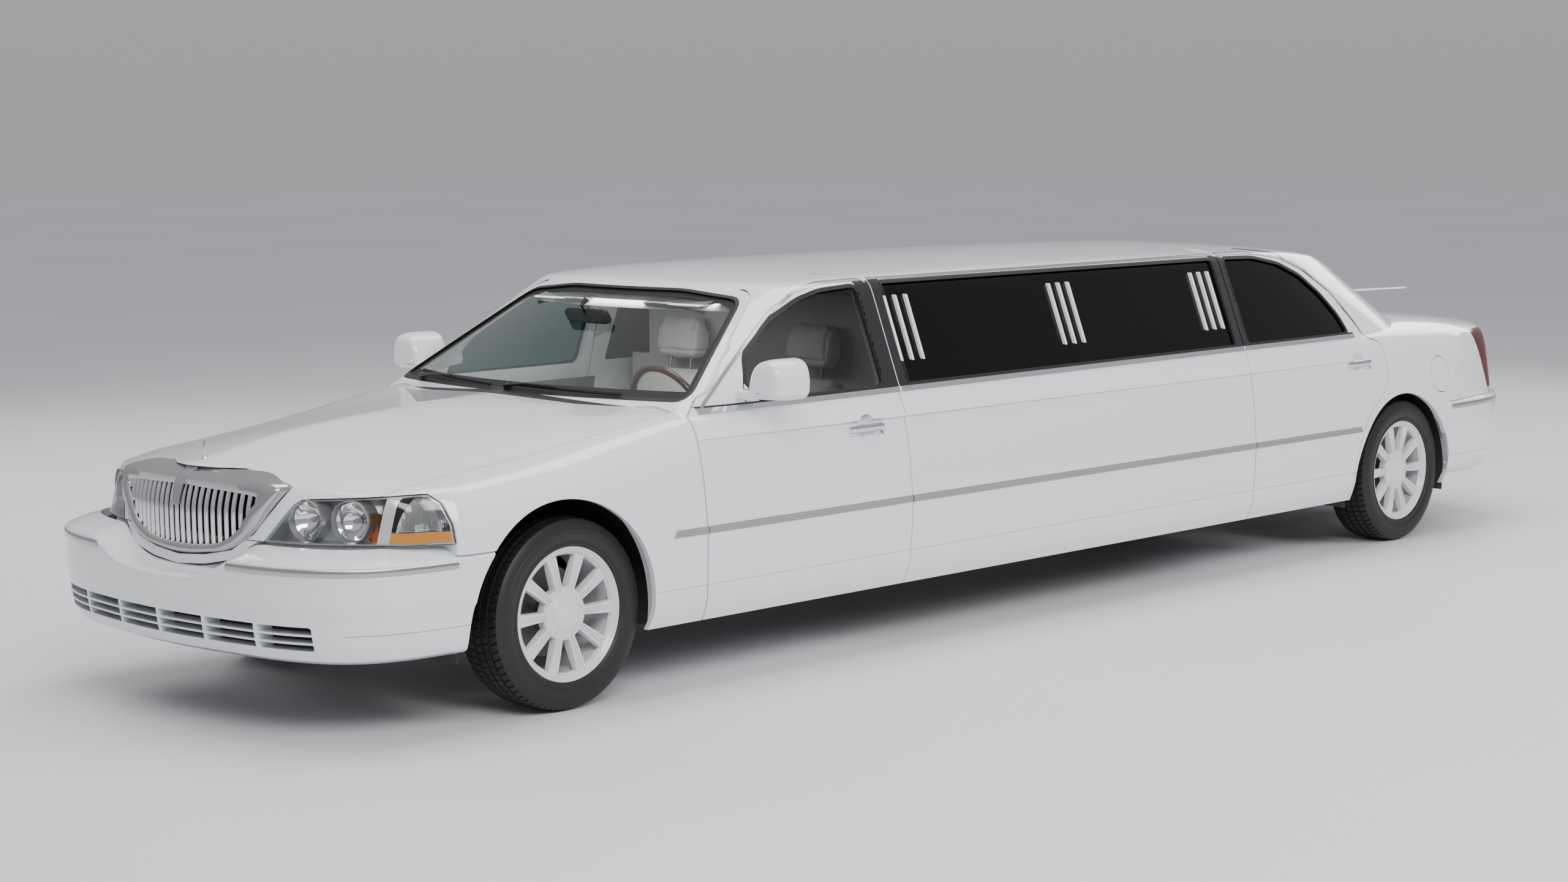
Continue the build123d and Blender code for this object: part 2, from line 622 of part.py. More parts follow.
# ---- chassis ----
rail = rail_width / 2
frame = Part()
for side in (1, -1):
    x0, x1 = sorted((side * (rail_x - rail), side * (rail_x + rail)))
    frame += box(x0, x1, at("f", 420), at("r", -620), rail_low_z, rail_low_z + rail_height)
    frame += box(x0, x1, at("f", -960), at("f", 420), horn_z, horn_z + rail_height)
    frame += box(x0, x1, at("f", 340), at("f", 420), rail_low_z, horn_z + rail_height)
    frame += box(x0, x1, at("r", -620), at("r", 1120), kick_z, kick_z + rail_height)
    frame += box(x0, x1, at("r", -620), at("r", -540), rail_low_z, kick_z + rail_height)
cross_rows = [("f", -930, horn_z), ("f", 700, rail_low_z), ("f", 2000, rail_low_z),
              ("r", -2200, rail_low_z), ("r", -900, rail_low_z), ("r", 1080, kick_z)]
for anchor, y, z in cross_rows:
    frame += box(-rail_x, rail_x, at(anchor, y) - 30, at(anchor, y) + 30, z, z + cross_height)
keep("frame", frame)

# ---- floor with its tunnel, raised over the rear axle ----
floor = box(-floor_half, floor_half, at("f", 640), at("r", -625), floor_z - floor_sheet, floor_z)
floor += box(-rear_well_x + 12, rear_well_x - 12, at("r", -650), at("r", 1080), rear_floor_z,
             rear_floor_z + floor_sheet)
floor += box(-rear_well_x + 12, rear_well_x - 12, at("r", -650), at("r", -625), floor_z - floor_sheet,
             rear_floor_z + floor_sheet)
tunnel = box(-tunnel_half, tunnel_half, at("f", 640), at("r", -625), floor_z - floor_sheet, tunnel_z)
tunnel_space = box(-tunnel_half + 20, tunnel_half - 20, at("f", 600), at("r", -560),
                   floor_z - floor_sheet - 5, tunnel_z - 20)
keep("floor_pan", floor + tunnel - tunnel_space)
firewall = box(-floor_half + 10, floor_half - 10, at("f", 612), at("f", 640), floor_z - floor_sheet, 1100)
firewall = firewall & lowerForm(door_wall + seat_gap, 35 + seat_gap)
firewall -= box(-tunnel_half + 20, tunnel_half - 20, at("f", 600), at("f", 660), 0, tunnel_z - 20)
keep("firewall", firewall)

# ---- engine and gearbox as one block ----
engine = box(-290, 290, at("f", -430), at("f", 330), cradle_z + seat_gap, 830)
engine += box(-85, 85, at("f", 330), at("f", gearbox_end), 300, 385)
keep("engine", engine)

# ---- front suspension, knuckles ----
front = box(-560, 560, at("f", -70), at("f", 70), 232, cradle_z)
for side in (1, -1):
    x0, x1 = sorted((side * (rail_x + rail + seat_gap), side * 560))
    front += box(x0, x1, at("f", -70), at("f", 70), 232, 560)
    x0, x1 = sorted((side * 540, side * (kingpin_x - 0)))
    front += box(x0, x1, at("f", -28), at("f", 28), 226, 250)
    front += box(x0, x1, at("f", -28), at("f", 28), 540, 560)
keep("front_suspension", front)
knuckle = rod(24, (kingpin_x, front_axle_y, 250 + seat_gap), (0, 0, 1), 290 - 2 * seat_gap)
knuckle += rod(38, (kingpin_x, front_axle_y, tyre_radius), (1, 0, 0), hub_inner - kingpin_x - 31)
knuckle += rod(spindle_radius, (kingpin_x, front_axle_y, tyre_radius), (1, 0, 0),
               hub_inner - kingpin_x + hub_length - 12)
knuckle += box(kingpin_x - 24, kingpin_x + 30, at("f", 20), at("f", 135), 390, 440)
keep("knuckle_left", knuckle)
keep("knuckle_right", knuckle.mirror(Plane.YZ))

# ---- live rear axle with its springs and propeller shaft ----
rear_inner = rear_track / 2 - hub_set
axle = rod(42, (-rear_inner + 31, rear_axle_y, tyre_radius), (1, 0, 0), 2 * rear_inner - 62)
axle += rod(spindle_radius, (-rear_inner - hub_length + 12, rear_axle_y, tyre_radius), (1, 0, 0),
            2 * (rear_inner + hub_length - 12))
axle += Part() + Solid.make_sphere(135).moved(Location((0, rear_axle_y, tyre_radius)))
shaft_start = at("f", gearbox_end) + seat_gap
axle += rod(38, (0, shaft_start, 342), (0, 1, 0), at("r", -100) - shaft_start)
for side in (1, -1):
    axle += rod(60, (side * rail_x, rear_axle_y, tyre_radius), (0, 0, 1), kick_z - tyre_radius - seat_gap)
keep("rear_axle", axle)

# ---- wheels and tyres: one pattern, placed four times ----
def wheel():
    """A wheel about the X axis, its outer face towards +X, hub face at x = 0."""
    barrel = rod(rim_radius, (rim_back, 0, 0), (1, 0, 0), rim_width)
    barrel -= rod(rim_radius - 22, (rim_back - 1, 0, 0), (1, 0, 0), rim_width + 2)
    hub = rod(cap_radius, (0, 0, 0), (1, 0, 0), hub_length)
    spokes = Part()
    for n in range(spoke_count):
        arm = box(hub_length - 34, hub_length - 6, -spoke_width / 2, spoke_width / 2, 40, rim_radius - 12)
        spokes += arm.rotate(Axis.X, 360 / spoke_count * (n + 0.5))
    disc = rod(disc_radius, (-28, 0, 0), (1, 0, 0), 26) + rod(hub_radius, (-28, 0, 0), (1, 0, 0), 40)
    bore = rod(spindle_radius + spin_clearance, (-40, 0, 0), (1, 0, 0), hub_length + 30)
    body = barrel + hub + spokes + disc - bore
    for n in range(stud_count):
        angle = radians(360 / stud_count * n + 90)
        spot = (hub_length - 14, stud_circle / 2 * cos(angle), stud_circle / 2 * sin(angle))
        body -= rod(stud_hole / 2, spot, (1, 0, 0), 20)
    return body


def tyre():
    """A tyre about the X axis with rounded shoulders, seated on the rim."""
    half = tyre_width / 2
    outline = [(-rim_width / 2, rim_radius + seat_gap), (-half, rim_radius + 35),
               (-half + 8, tyre_radius - 30), (-half + 34, tyre_radius), (half - 34, tyre_radius),
               (half - 8, tyre_radius - 30), (half, rim_radius + 35),
               (rim_width / 2, rim_radius + seat_gap)]
    face = Face(Wire.make_polygon([Vector(x, 0, z) for x, z in outline], close=True))
    return Part() + Solid.revolve(face, 360, Axis.X)


wheel_form = wheel()
tyre_form = tyre()
for name, x, y in (("front_left", front_track / 2, front_axle_y), ("rear_left", rear_track / 2, rear_axle_y)):
    placed = wheel_form.moved(Location((x - hub_set, y, tyre_radius)))
    keep(f"wheel_{name}", placed)
    keep(f"wheel_{name.replace('left', 'right')}", placed.mirror(Plane.YZ))
    ring_place = tyre_form.moved(Location((x - hub_set + rim_back + rim_width / 2, y, tyre_radius)))
    keep(f"tyre_{name}", ring_place)
    keep(f"tyre_{name.replace('left', 'right')}", ring_place.mirror(Plane.YZ))

# ---- cabin ----
dash = box(-790, 790, at("f", 640), at("f", 900), 740, 930) + box(-790, 790, at("f", 640), at("f", 860), 900, 985)
column = Plane(origin=(wheel_x, at("f", 905), 925), z_dir=(0, cos(radians(column_angle)), sin(radians(column_angle))))
keep("dashboard", dash + Solid.make_cylinder(34, 62, column.offset(-40)))
steering = Part() + Solid.make_torus(188, 15, column.offset(110))
steering += Part() + Solid.make_cylinder(60, 34, column.offset(92))
steering += Part() + Solid.make_cylinder(18, 96 - 18 - seat_gap, column.offset(22 + seat_gap))
for n in range(4):
    spoke = Part() + Solid.make_box(178, 28, 14).moved(Location((0, -14, 0)))
    steering += spoke.rotate(Axis.Z, 90 * n).moved(column.offset(103).location)
keep("steering_wheel", steering)


def armchair(x):
    """A front seat: cushion, raked back and headrest in one closed form."""
    y = at("f", 1240)
    low = floor_z + seat_gap
    side_view = [(y, low), (y, 500), (y + 30, 555), (y + 420, 530), (y + 540, 1080), (y + 640, 1080),
                 (y + 575, 500), (y + 560, low)]
    seat = prism(side_view, "x", x - 248, x + 248)
    head = box(x - 135, x + 135, y + 545, y + 655, 1075, 1285)
    return seat + head


keep("front_seats", armchair(wheel_x) + armchair(-wheel_x))
partition = box(-800, 800, at("f", 1930), at("f", 1965), floor_z, 1080)
partition += box(-690, 690, at("f", 1930), at("f", 1965), 1080, 1380)
keep("partition", partition - box(-tunnel_half - 2, tunnel_half + 2, at("f", 1900), at("f", 2000), 0, tunnel_z + 1))
bench = box(-640, 640, at("r", -600), at("r", -60), rear_floor_z + floor_sheet, 720)
bench += prism([(at("r", -200), 700), (at("r", -60), 1180), (at("r", 60), 1180), (at("r", -40), 700)], "x", -640, 640)
side_seat = box(-800, -330, at("f", 2300), at("r", -700), floor_z, 640) + box(-800, -690, at("f", 2300), at("r", -700), 620, 985)
keep("lounge_seats", bench + side_seat)

# ---- exhaust and fuel tank ----
pipe = Part()
for side in (1, -1):
    pipe += rod(pipe_radius, (side * 250, at("f", 700), rail_low_z + cross_height + pipe_radius + seat_gap),
                (0, 1, 0), at("r", -450) - at("f", 700))
    x0, x1 = sorted((side * 180, side * 330))
    pipe += box(x0, x1, at("f", 2500), at("f", 3100), 150, 262)
keep("exhaust", pipe)
keep("fuel_tank", box(-380, 380, at("r", 300), at("r", 760), 240, rear_floor_z - seat_gap))

for name, part in pieces.items():
    solids = part.solids()
    size = part.bounding_box().size
    print(name, len(solids), [round(s.volume / 1e3) for s in solids][:6], [round(v) for v in size])
    export_step(part, f"parts/{name}.step")
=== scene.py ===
import json
import math

import bmesh
import bpy
from mathutils import Matrix, Vector
from mathutils.bvhtree import BVHTree

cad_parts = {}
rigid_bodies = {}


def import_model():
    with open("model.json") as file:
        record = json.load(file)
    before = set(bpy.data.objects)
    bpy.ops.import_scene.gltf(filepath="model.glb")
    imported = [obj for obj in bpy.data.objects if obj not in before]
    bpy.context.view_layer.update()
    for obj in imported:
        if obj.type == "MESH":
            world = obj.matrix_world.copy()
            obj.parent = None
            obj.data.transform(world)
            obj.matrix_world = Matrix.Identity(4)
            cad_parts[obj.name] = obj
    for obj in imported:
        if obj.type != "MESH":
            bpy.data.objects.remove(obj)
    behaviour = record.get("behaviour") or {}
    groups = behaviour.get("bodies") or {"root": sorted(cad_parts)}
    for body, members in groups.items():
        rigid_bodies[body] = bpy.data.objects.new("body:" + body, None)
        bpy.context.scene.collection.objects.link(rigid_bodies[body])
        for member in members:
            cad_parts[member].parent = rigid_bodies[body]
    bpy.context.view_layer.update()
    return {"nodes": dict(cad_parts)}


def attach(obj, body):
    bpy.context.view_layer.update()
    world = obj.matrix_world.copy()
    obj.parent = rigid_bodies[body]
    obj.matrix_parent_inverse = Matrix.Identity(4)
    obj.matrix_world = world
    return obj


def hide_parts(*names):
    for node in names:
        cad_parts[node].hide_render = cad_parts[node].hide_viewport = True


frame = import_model()
nodes = frame["nodes"]

# metres: front towards -Y, the car's left side towards +X, y given from an axle with at()
car = {
    "axles": {"f": -2.8655, "r": 2.6635},
    "halfWidth": 0.991,
    "mouldingZ": 0.598,
    "creaseZ": 0.346,
    "rockerZ": 0.252,
    "beltZ": 1.02,
    "railZ": 1.46,
    "bumperTop": 0.672,
    "rearBumperTop": 0.672,
    "gap": 0.007,
    "glassInset": 0.011,
    "glass": 0.005,
    "wall": 0.088,
    "pillarWall": 0.042,
    "lidWall": 0.03,
    "wheelZ": 0.3515,
}


def at(anchor, y):
    # y in the car's frame
    return car["axles"][anchor] + y


# camera
view = {
    "place": (8.37263, -9.56317, 2.1166),
    "yaw": 133.6976,
    "pitch": 6.5273,
    "roll": -0.36204,
    "lens": 64.97,
}


def makeCamera():
    data = bpy.data.cameras.new("camera")
    data.lens = view["lens"]
    data.sensor_width = 36.0
    data.clip_end = 200.0
    camera = bpy.data.objects.new("camera", data)
    yaw, pitch, roll = (math.radians(view[k]) for k in ("yaw", "pitch", "roll"))
    ahead = Vector((math.cos(pitch) * math.cos(yaw), math.cos(pitch) * math.sin(yaw), -math.sin(pitch)))
    right = ahead.cross(Vector((0, 0, 1))).normalized()
    up = right.cross(ahead)
    sideways = right * math.cos(roll) + up * math.sin(roll)
    upwards = up * math.cos(roll) - right * math.sin(roll)
    turn = Matrix((sideways, upwards, -ahead)).transposed().to_4x4()
    camera.matrix_world = Matrix.Translation(view["place"]) @ turn
    bpy.context.scene.collection.objects.link(camera)
    bpy.context.scene.camera = camera


makeCamera()
print("camera set")


# node helpers
def feed(tree, socket, value):
    # another socket is linked, anything else is the socket's own value
    if isinstance(value, bpy.types.NodeSocket):
        tree.links.new(value, socket)
    else:
        socket.default_value = value


def addNode(tree, kind, *feeds, **settings):
    # feeds go to the first inputs in turn, settings to inputs or attributes by name
    node = tree.nodes.new("ShaderNode" + kind)
    for key, value in settings.items():
        label = key.replace("_", " ")
        if label in node.inputs:
            feed(tree, node.inputs[label], value)
        else:
            setattr(node, key, value)
    for socket, value in zip(node.inputs, feeds):
        feed(tree, socket, value)
    return node


def combined(tree, operation, *feeds, clamp=False):
    return addNode(tree, "Math", *feeds, operation=operation, use_clamp=clamp).outputs[0]


def spread(tree, value, **ends):
    return addNode(tree, "MapRange", value, **ends).outputs[0]


def mixed(tree, factor, first, second, blend="MIX"):
    node = addNode(tree, "Mix", data_type="RGBA", blend_type=blend)
    for number, value in ((0, factor), (6, first), (7, second)):
        feed(tree, node.inputs[number], value)
    return node.outputs[2]


def placeOf(tree, kind="Object"):
    return addNode(tree, "TexCoord").outputs[kind]


def noise(tree, place, scale, detail, **settings):
    return addNode(tree, "TexNoise", Vector=place, Scale=scale, Detail=detail, **settings).outputs["Fac"]


def makeGroup(name, inputs, outputs):
    # a node group with named sockets: (name, kind, default)
    group = bpy.data.node_groups.new(name, "ShaderNodeTree")
    for label, kind, value in inputs:
        socket = group.interface.new_socket(label, in_out="INPUT", socket_type="NodeSocket" + kind)
        socket.default_value = value
    for label, kind in outputs:
        group.interface.new_socket(label, in_out="OUTPUT", socket_type="NodeSocket" + kind)
    return group, group.nodes.new("NodeGroupInput").outputs, group.nodes.new("NodeGroupOutput").inputs


def colour(r, g, b):
    return (r, g, b, 1.0)


dustTone = (0.42, 0.4, 0.37)


def surfaceGroup():
    # dust that settles low on the car, fine mottling and a small bump, from place alone
    group, given, out = makeGroup("surfaceWear", [("Color", "Color", colour(0.8, 0.8, 0.8)), ("Dust Color", "Color",
        colour(*dustTone)), ("Dust", "Float", 0.2), ("Dust Height", "Float", 0.6), ("Mottle", "Float", 0.03),
        ("Roughness", "Float", 0.3), ("Scale", "Float", 40.0)], [("Color", "Color"), ("Roughness", "Float"),
        ("Height", "Float")])
    place = placeOf(group)
    height = addNode(group, "SeparateXYZ", place).outputs["Z"]
    broad = noise(group, place, 3.1, 6.0, Roughness=0.62)
    fine = noise(group, place, given["Scale"], 3.0)
    fade = spread(group, height, interpolation_type="SMOOTHSTEP", From_Max=given["Dust Height"], To_Min=1.0,
        To_Max=0.0)
    amount = combined(group, "MULTIPLY", combined(group, "MULTIPLY", fade, broad), given["Dust"], clamp=True)
    tint = combined(group, "MULTIPLY_ADD", spread(group, fine, To_Min=-1.0), given["Mottle"], 1.0)
    toned = mixed(group, 1.0, given["Color"], tint, "MULTIPLY")
    feed(group, out["Color"], mixed(group, amount, toned, given["Dust Color"]))
    feed(group, out["Roughness"], combined(group, "MULTIPLY_ADD", amount, 0.5, given["Roughness"], clamp=True))
    feed(group, out["Height"], fine)
    return group


def grainGroup():
    # pebbled grain of leather and moulded plastic, with its creases darkened as painted shade
    group, given, out = makeGroup("pebbleGrain", [("Color", "Color", colour(0.5, 0.5, 0.5)), ("Crease", "Float", 0.8),
        ("Scale", "Float", 450.0)], [("Color", "Color"), ("Height", "Float")])
    place = placeOf(group)
    cells = addNode(group, "TexVoronoi", feature="SMOOTH_F1", Vector=place, Scale=given["Scale"]).outputs["Distance"]
    # the cell edges are darkened by the Crease factor: painted shade in the grain's creases
    creaseShade = spread(group, cells, From_Min=0.25, From_Max=0.85, To_Min=1.0, To_Max=given["Crease"])
    sway = spread(group, noise(group, place, 6.0, 4.0), To_Min=0.93, To_Max=1.05)
    both = combined(group, "MULTIPLY", creaseShade, sway)
    feed(group, out["Color"], mixed(group, 1.0, given["Color"], both, "MULTIPLY"))
    feed(group, out["Height"], cells)
    return group


wearGroup = surfaceGroup()
pebbleGroup = grainGroup()


def newMaterial(name, **settings):
    material = bpy.data.materials.new(name)
    material.use_nodes = True
    tree = material.node_tree
    shader = tree.nodes["Principled BSDF"]
    for key, value in settings.items():
        shader.inputs[key.replace("_", " ")].default_value = value
    return material, tree, shader


def dented(tree, shader, height, bump, bumpSize):
    dent = addNode(tree, "Bump", Strength=bump, Distance=bumpSize, Height=height)
    feed(tree, shader.inputs["Normal"], dent.outputs[0])


def wornMaterial(name, base, roughness, dust=0.2, dustHeight=0.6, mottle=0.03, scale=40.0, bump=0.0, bumpSize=0.0005,
        dustColour=dustTone, **settings):
    material, tree, shader = newMaterial(name, **settings)
    wear = addNode(tree, "Group", node_tree=wearGroup, Color=colour(*base), Dust_Color=colour(*dustColour), Dust=dust,
        Dust_Height=dustHeight, Mottle=mottle, Roughness=roughness, Scale=scale).outputs
    feed(tree, shader.inputs["Base Color"], wear["Color"])
    feed(tree, shader.inputs["Roughness"], wear["Roughness"])
    if bump:
        dented(tree, shader, wear["Height"], bump, bumpSize)
    return material


def grainMaterial(name, base, roughness, scale=450.0, crease=0.8, bump=0.35, bumpSize=0.0006, **settings):
    material, tree, shader = newMaterial(name, Roughness=roughness, **settings)
    grain = addNode(tree, "Group", node_tree=pebbleGroup, Color=colour(*base), Crease=crease, Scale=scale).outputs
    feed(tree, shader.inputs["Base Color"], grain["Color"])
    dented(tree, shader, grain["Height"], bump, bumpSize)
    return material


def glassMaterial(name, tint, roughness=0.01, film=0.12, bend=1.33):
    # clear or tinted glass with a thin uneven film
    material, tree, shader = newMaterial(name, Transmission_Weight=1.0, IOR=bend)
    smear = noise(tree, placeOf(tree), 9.0, 5.0)
    rough = spread(tree, smear, From_Min=0.45, To_Min=roughness, To_Max=roughness + film * 0.25)
    tone = mixed(tree, smear, colour(*tint), colour(*[c * (1 - film) for c in tint]))
    feed(tree, shader.inputs["Roughness"], rough)
    feed(tree, shader.inputs["Base Color"], tone)
    return material


whitePaint = wornMaterial("whitePaint", (0.785, 0.8, 0.825), 0.22, dust=0.1, dustHeight=0.55, mottle=0.012,
    scale=900.0, bump=0.015, bumpSize=0.0003, Coat_Weight=1.0, Coat_Roughness=0.02)
satinTrim = wornMaterial("satinTrim", (0.5, 0.5, 0.5), 0.24, dust=0.12, mottle=0.05, scale=160.0, bump=0.02,
    Metallic=1.0)
brightChrome = wornMaterial("brightChrome", (0.78, 0.78, 0.79), 0.07, dust=0.08, mottle=0.03, scale=90.0,
    Metallic=1.0)
sideMoulding = wornMaterial("sideMoulding", (0.36, 0.37, 0.37), 0.34, dust=0.15, mottle=0.05, scale=300.0, bump=0.05,
    Metallic=0.65)
blackPlastic = grainMaterial("blackPlastic", (0.018, 0.018, 0.019), 0.42, scale=900.0, crease=0.7)
blackRubber = wornMaterial("blackRubber", (0.012, 0.012, 0.013), 0.58, dust=0.1, mottle=0.15, scale=220.0, bump=0.1)
gapBlack = wornMaterial("gapBlack", (0.01, 0.01, 0.011), 0.75, dust=0.25, mottle=0.2, scale=30.0)
tyreRubber = wornMaterial("tyreRubber", (0.01, 0.01, 0.011), 0.5, dust=0.09, dustHeight=0.9, mottle=0.18, scale=260.0,
    bump=0.12, bumpSize=0.0008, dustColour=(0.05, 0.048, 0.045))
alloyPaint = wornMaterial("alloyPaint", (0.7, 0.71, 0.72), 0.26, dust=0.1, dustHeight=0.9, mottle=0.03, scale=120.0,
    bump=0.02, Coat_Weight=0.8, Coat_Roughness=0.04)
castSteel = wornMaterial("castSteel", (0.16, 0.155, 0.15), 0.55, dust=0.5, dustHeight=1.0, mottle=0.2, scale=130.0,
    bump=0.25, bumpSize=0.001, Metallic=0.8)
frameSteel = wornMaterial("frameSteel", (0.022, 0.022, 0.023), 0.5, dust=0.55, dustHeight=1.0, mottle=0.15,
    scale=60.0, bump=0.15, bumpSize=0.001, Metallic=0.3)
tinSteel = wornMaterial("tinSteel", (0.33, 0.31, 0.29), 0.4, dust=0.5, dustHeight=0.9, mottle=0.2, scale=70.0,
    bump=0.1, Metallic=0.9)
dashGrey = grainMaterial("dashGrey", (0.15, 0.155, 0.16), 0.55, scale=700.0)
palePlastic = grainMaterial("palePlastic", (0.46, 0.45, 0.43), 0.5, scale=700.0, crease=0.9)
greyLeather = grainMaterial("greyLeather", (0.5, 0.495, 0.48), 0.42, scale=520.0, crease=0.82, Sheen_Weight=0.08)
carpet = wornMaterial("carpet", (0.055, 0.055, 0.06), 0.95, dust=0.1, mottle=0.5, scale=900.0, bump=0.8,
    bumpSize=0.002)
headCloth = wornMaterial("headCloth", (0.5, 0.49, 0.46), 0.9, dust=0.0, mottle=0.12, scale=1200.0, bump=0.4,
    bumpSize=0.0006)
glossBlack = wornMaterial("glossBlack", (0.006, 0.006, 0.007), 0.08, dust=0.04, mottle=0.05, scale=200.0,
    Coat_Weight=0.6, Coat_Roughness=0.02)
paleGlass = glassMaterial("paleGlass", (0.27, 0.285, 0.28))
greenGlass = glassMaterial("greenGlass", (0.03, 0.125, 0.11))
clearGlass = glassMaterial("clearGlass", (0.86, 0.9, 0.88))
lampLens = glassMaterial("lampLens", (0.97, 0.98, 0.99), film=0.04, bend=1.35)
print("materials ready")


# stage and light
def makeStage():
    floorMesh = bmesh.new()
    bmesh.ops.create_grid(floorMesh, x_segments=1, y_segments=1, size=60.0)
    floor = toObject(floorMesh, "floor")
    material, tree, shader = newMaterial("floorPale", Roughness=0.55, Specular_IOR_Level=0.15)
    tone = noise(tree, placeOf(tree), 0.25, 2.0)
    feed(tree, shader.inputs["Base Color"], mixed(tree, tone, colour(0.66, 0.66, 0.68), colour(0.74, 0.74, 0.76)))
    floor.data.materials.append(material)

    world = bpy.data.worlds.new("studio")
    bpy.context.scene.world = world
    world.use_nodes = True
    tree = world.node_tree
    sky = tree.nodes["Background"]
    sky.inputs["Strength"].default_value = 0.62
    height = addNode(tree, "SeparateXYZ", placeOf(tree, "Generated")).outputs["Z"]
    fade = spread(tree, height, interpolation_type="SMOOTHSTEP", From_Min=-0.15, From_Max=0.75)
    feed(tree, sky.inputs["Color"], mixed(tree, fade, colour(0.62, 0.63, 0.66), colour(0.95, 0.96, 1.0)))


def addLamp(name, place, target, size, power, glossy=True, seen=True):
    data = bpy.data.lights.new(name, "AREA")
    data.shape = "RECTANGLE"
    data.size, data.size_y = size
    data.energy = power
    lamp = bpy.data.objects.new(name, data)
    lamp.location = place
    lamp.rotation_euler = (Vector(target) - Vector(place)).to_track_quat("-Z", "Y").to_euler()
    lamp.visible_glossy = glossy
    lamp.visible_camera = lamp.visible_transmission = seen
    bpy.context.scene.collection.objects.link(lamp)


# mesh helpers
def fit(piece, body, slot, *replaced):
    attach(piece, body)
    if replaced:
        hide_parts(*replaced)
    return piece


def named(piece, name, material):
    piece.name = name
    piece.data.materials.append(material)
    return piece


def rect(x0, x1, z0, z1):
    return [(x0, z0), (x1, z0), (x1, z1), (x0, z1)]


def circle(radius, steps, place=(0.0, 0.0), tall=None):
    tall = radius if tall is None else tall
    return [(place[0] + math.cos(t) * radius, place[1] + math.sin(t) * tall) for t in (math.tau * k / steps
        for k in range(steps))]


def toObject(bm, name, material=None, smooth=30.0):
    # a bmesh becomes an object at the origin, shaded smooth up to an angle
    mesh = bpy.data.meshes.new(name)
    bm.to_mesh(mesh)
    bm.free()
    piece = bpy.data.objects.new(name, mesh)
    bpy.context.scene.collection.objects.link(piece)
    if material:
        mesh.materials.append(material)
    shadeSmooth(piece, smooth)
    return piece


def shadeSmooth(piece, angle=30.0):
    for face in piece.data.polygons:
        face.use_smooth = True
    piece.data.set_sharp_from_angle(angle=math.radians(angle))


def applyModifiers(piece):
    # bakes the modifiers into the mesh
    bpy.context.view_layer.update()
    solved = piece.evaluated_get(bpy.context.evaluated_depsgraph_get())
    mesh = bpy.data.meshes.new_from_object(solved)
    old = piece.data
    piece.modifiers.clear()
    piece.data = mesh
    mesh.name = piece.name
    bpy.data.meshes.remove(old)
    return piece


def smoothOut(piece, levels=2, angle=30.0):
    rounder = piece.modifiers.new("rounder", "SUBSURF")
    rounder.levels = rounder.render_levels = levels
    applyModifiers(piece)
    shadeSmooth(piece, angle)
    return piece


def copyOf(piece, name):
    twin = bpy.data.objects.new(name, piece.data.copy())
    twin.data.name = name
    bpy.context.scene.collection.objects.link(twin)
    return twin


def carve(piece, cutter, how="DIFFERENCE", spend=False):
    # a boolean with another closed piece
    knife = piece.modifiers.new("cut", "BOOLEAN")
    knife.solver = "MANIFOLD"
    knife.operation = how
    knife.object = cutter
    applyModifiers(piece)
    if spend:
        drop(cutter)
    return piece


def drop(*pieces):
    for piece in pieces:
        mesh = piece.data
        bpy.data.objects.remove(piece)
        bpy.data.meshes.remove(mesh)


def pour(bm, part):
    # one bmesh poured into another
    mesh = bpy.data.meshes.new("part")
    part.to_mesh(mesh)
    part.free()
    bm.from_mesh(mesh)
    bpy.data.meshes.remove(mesh)


def spin(profile, axis, steps, closed, merge=0.00002):
    # a profile of places turned about an axis through the origin
    bm = bmesh.new()
    addLoop(bm, profile, closed)
    bmesh.ops.spin(bm, geom=bm.verts[:] + bm.edges[:], axis=axis, cent=(0, 0, 0), angle=math.tau, steps=steps,
        use_merge=True)
    if merge:
        bmesh.ops.remove_doubles(bm, verts=bm.verts, dist=merge)
    return bm


def addLoop(bm, points, closed=True):
    corners = [bm.verts.new(p) for p in points]
    edges = [bm.edges.new(pair) for pair in zip(corners, corners[1:])]
    if closed:
        edges.append(bm.edges.new((corners[-1], corners[0])))
    return edges


def bridged(loops, closed=True, caps=True):
    # a skin through a row of like outlines: the first is extruded from place to place
    bm = bmesh.new()
    order = bm.verts.layers.int.new("order")
    edges = addLoop(bm, loops[0], closed)
    for number, vert in enumerate(bm.verts):
        vert[order] = number
    start = edges
    for loop in loops[1:]:
        moved = bmesh.ops.extrude_edge_only(bm, edges=edges)["geom"]
        fresh = {g for g in moved if isinstance(g, bmesh.types.BMVert)}
        edges = [g for g in moved if isinstance(g, bmesh.types.BMEdge) and set(g.verts) <= fresh]
        for vert in fresh:
            vert.co = loop[vert[order]]
    if caps and closed:
        for row in (start, edges):
            bmesh.ops.edgeloop_fill(bm, edges=row)
    elif loops[0] is loops[-1]:
        bmesh.ops.remove_doubles(bm, verts=bm.verts, dist=0.00001)
    bmesh.ops.recalc_face_normals(bm, faces=bm.faces)
    return bm


def grown(points, by):
    # the outline moved out by a distance, corners kept sharp
    turns = sum(p[0] * q[1] - q[0] * p[1] for p, q in zip(points, points[1:] + points[:1]))
    out = by if turns > 0 else -by
    moved = []
    for before, here, after in zip(points[-1:] + points[:-1], points, points[1:] + points[:1]):
        a = (Vector(here) - Vector(before)).normalized()
        b = (Vector(after) - Vector(here)).normalized()
        normal = Vector((a.y + b.y, -a.x - b.x))
        reach = out / normal.dot(Vector((a.y, -a.x)))
        moved.append((here[0] + normal.x * reach, here[1] + normal.y * reach))
    return moved


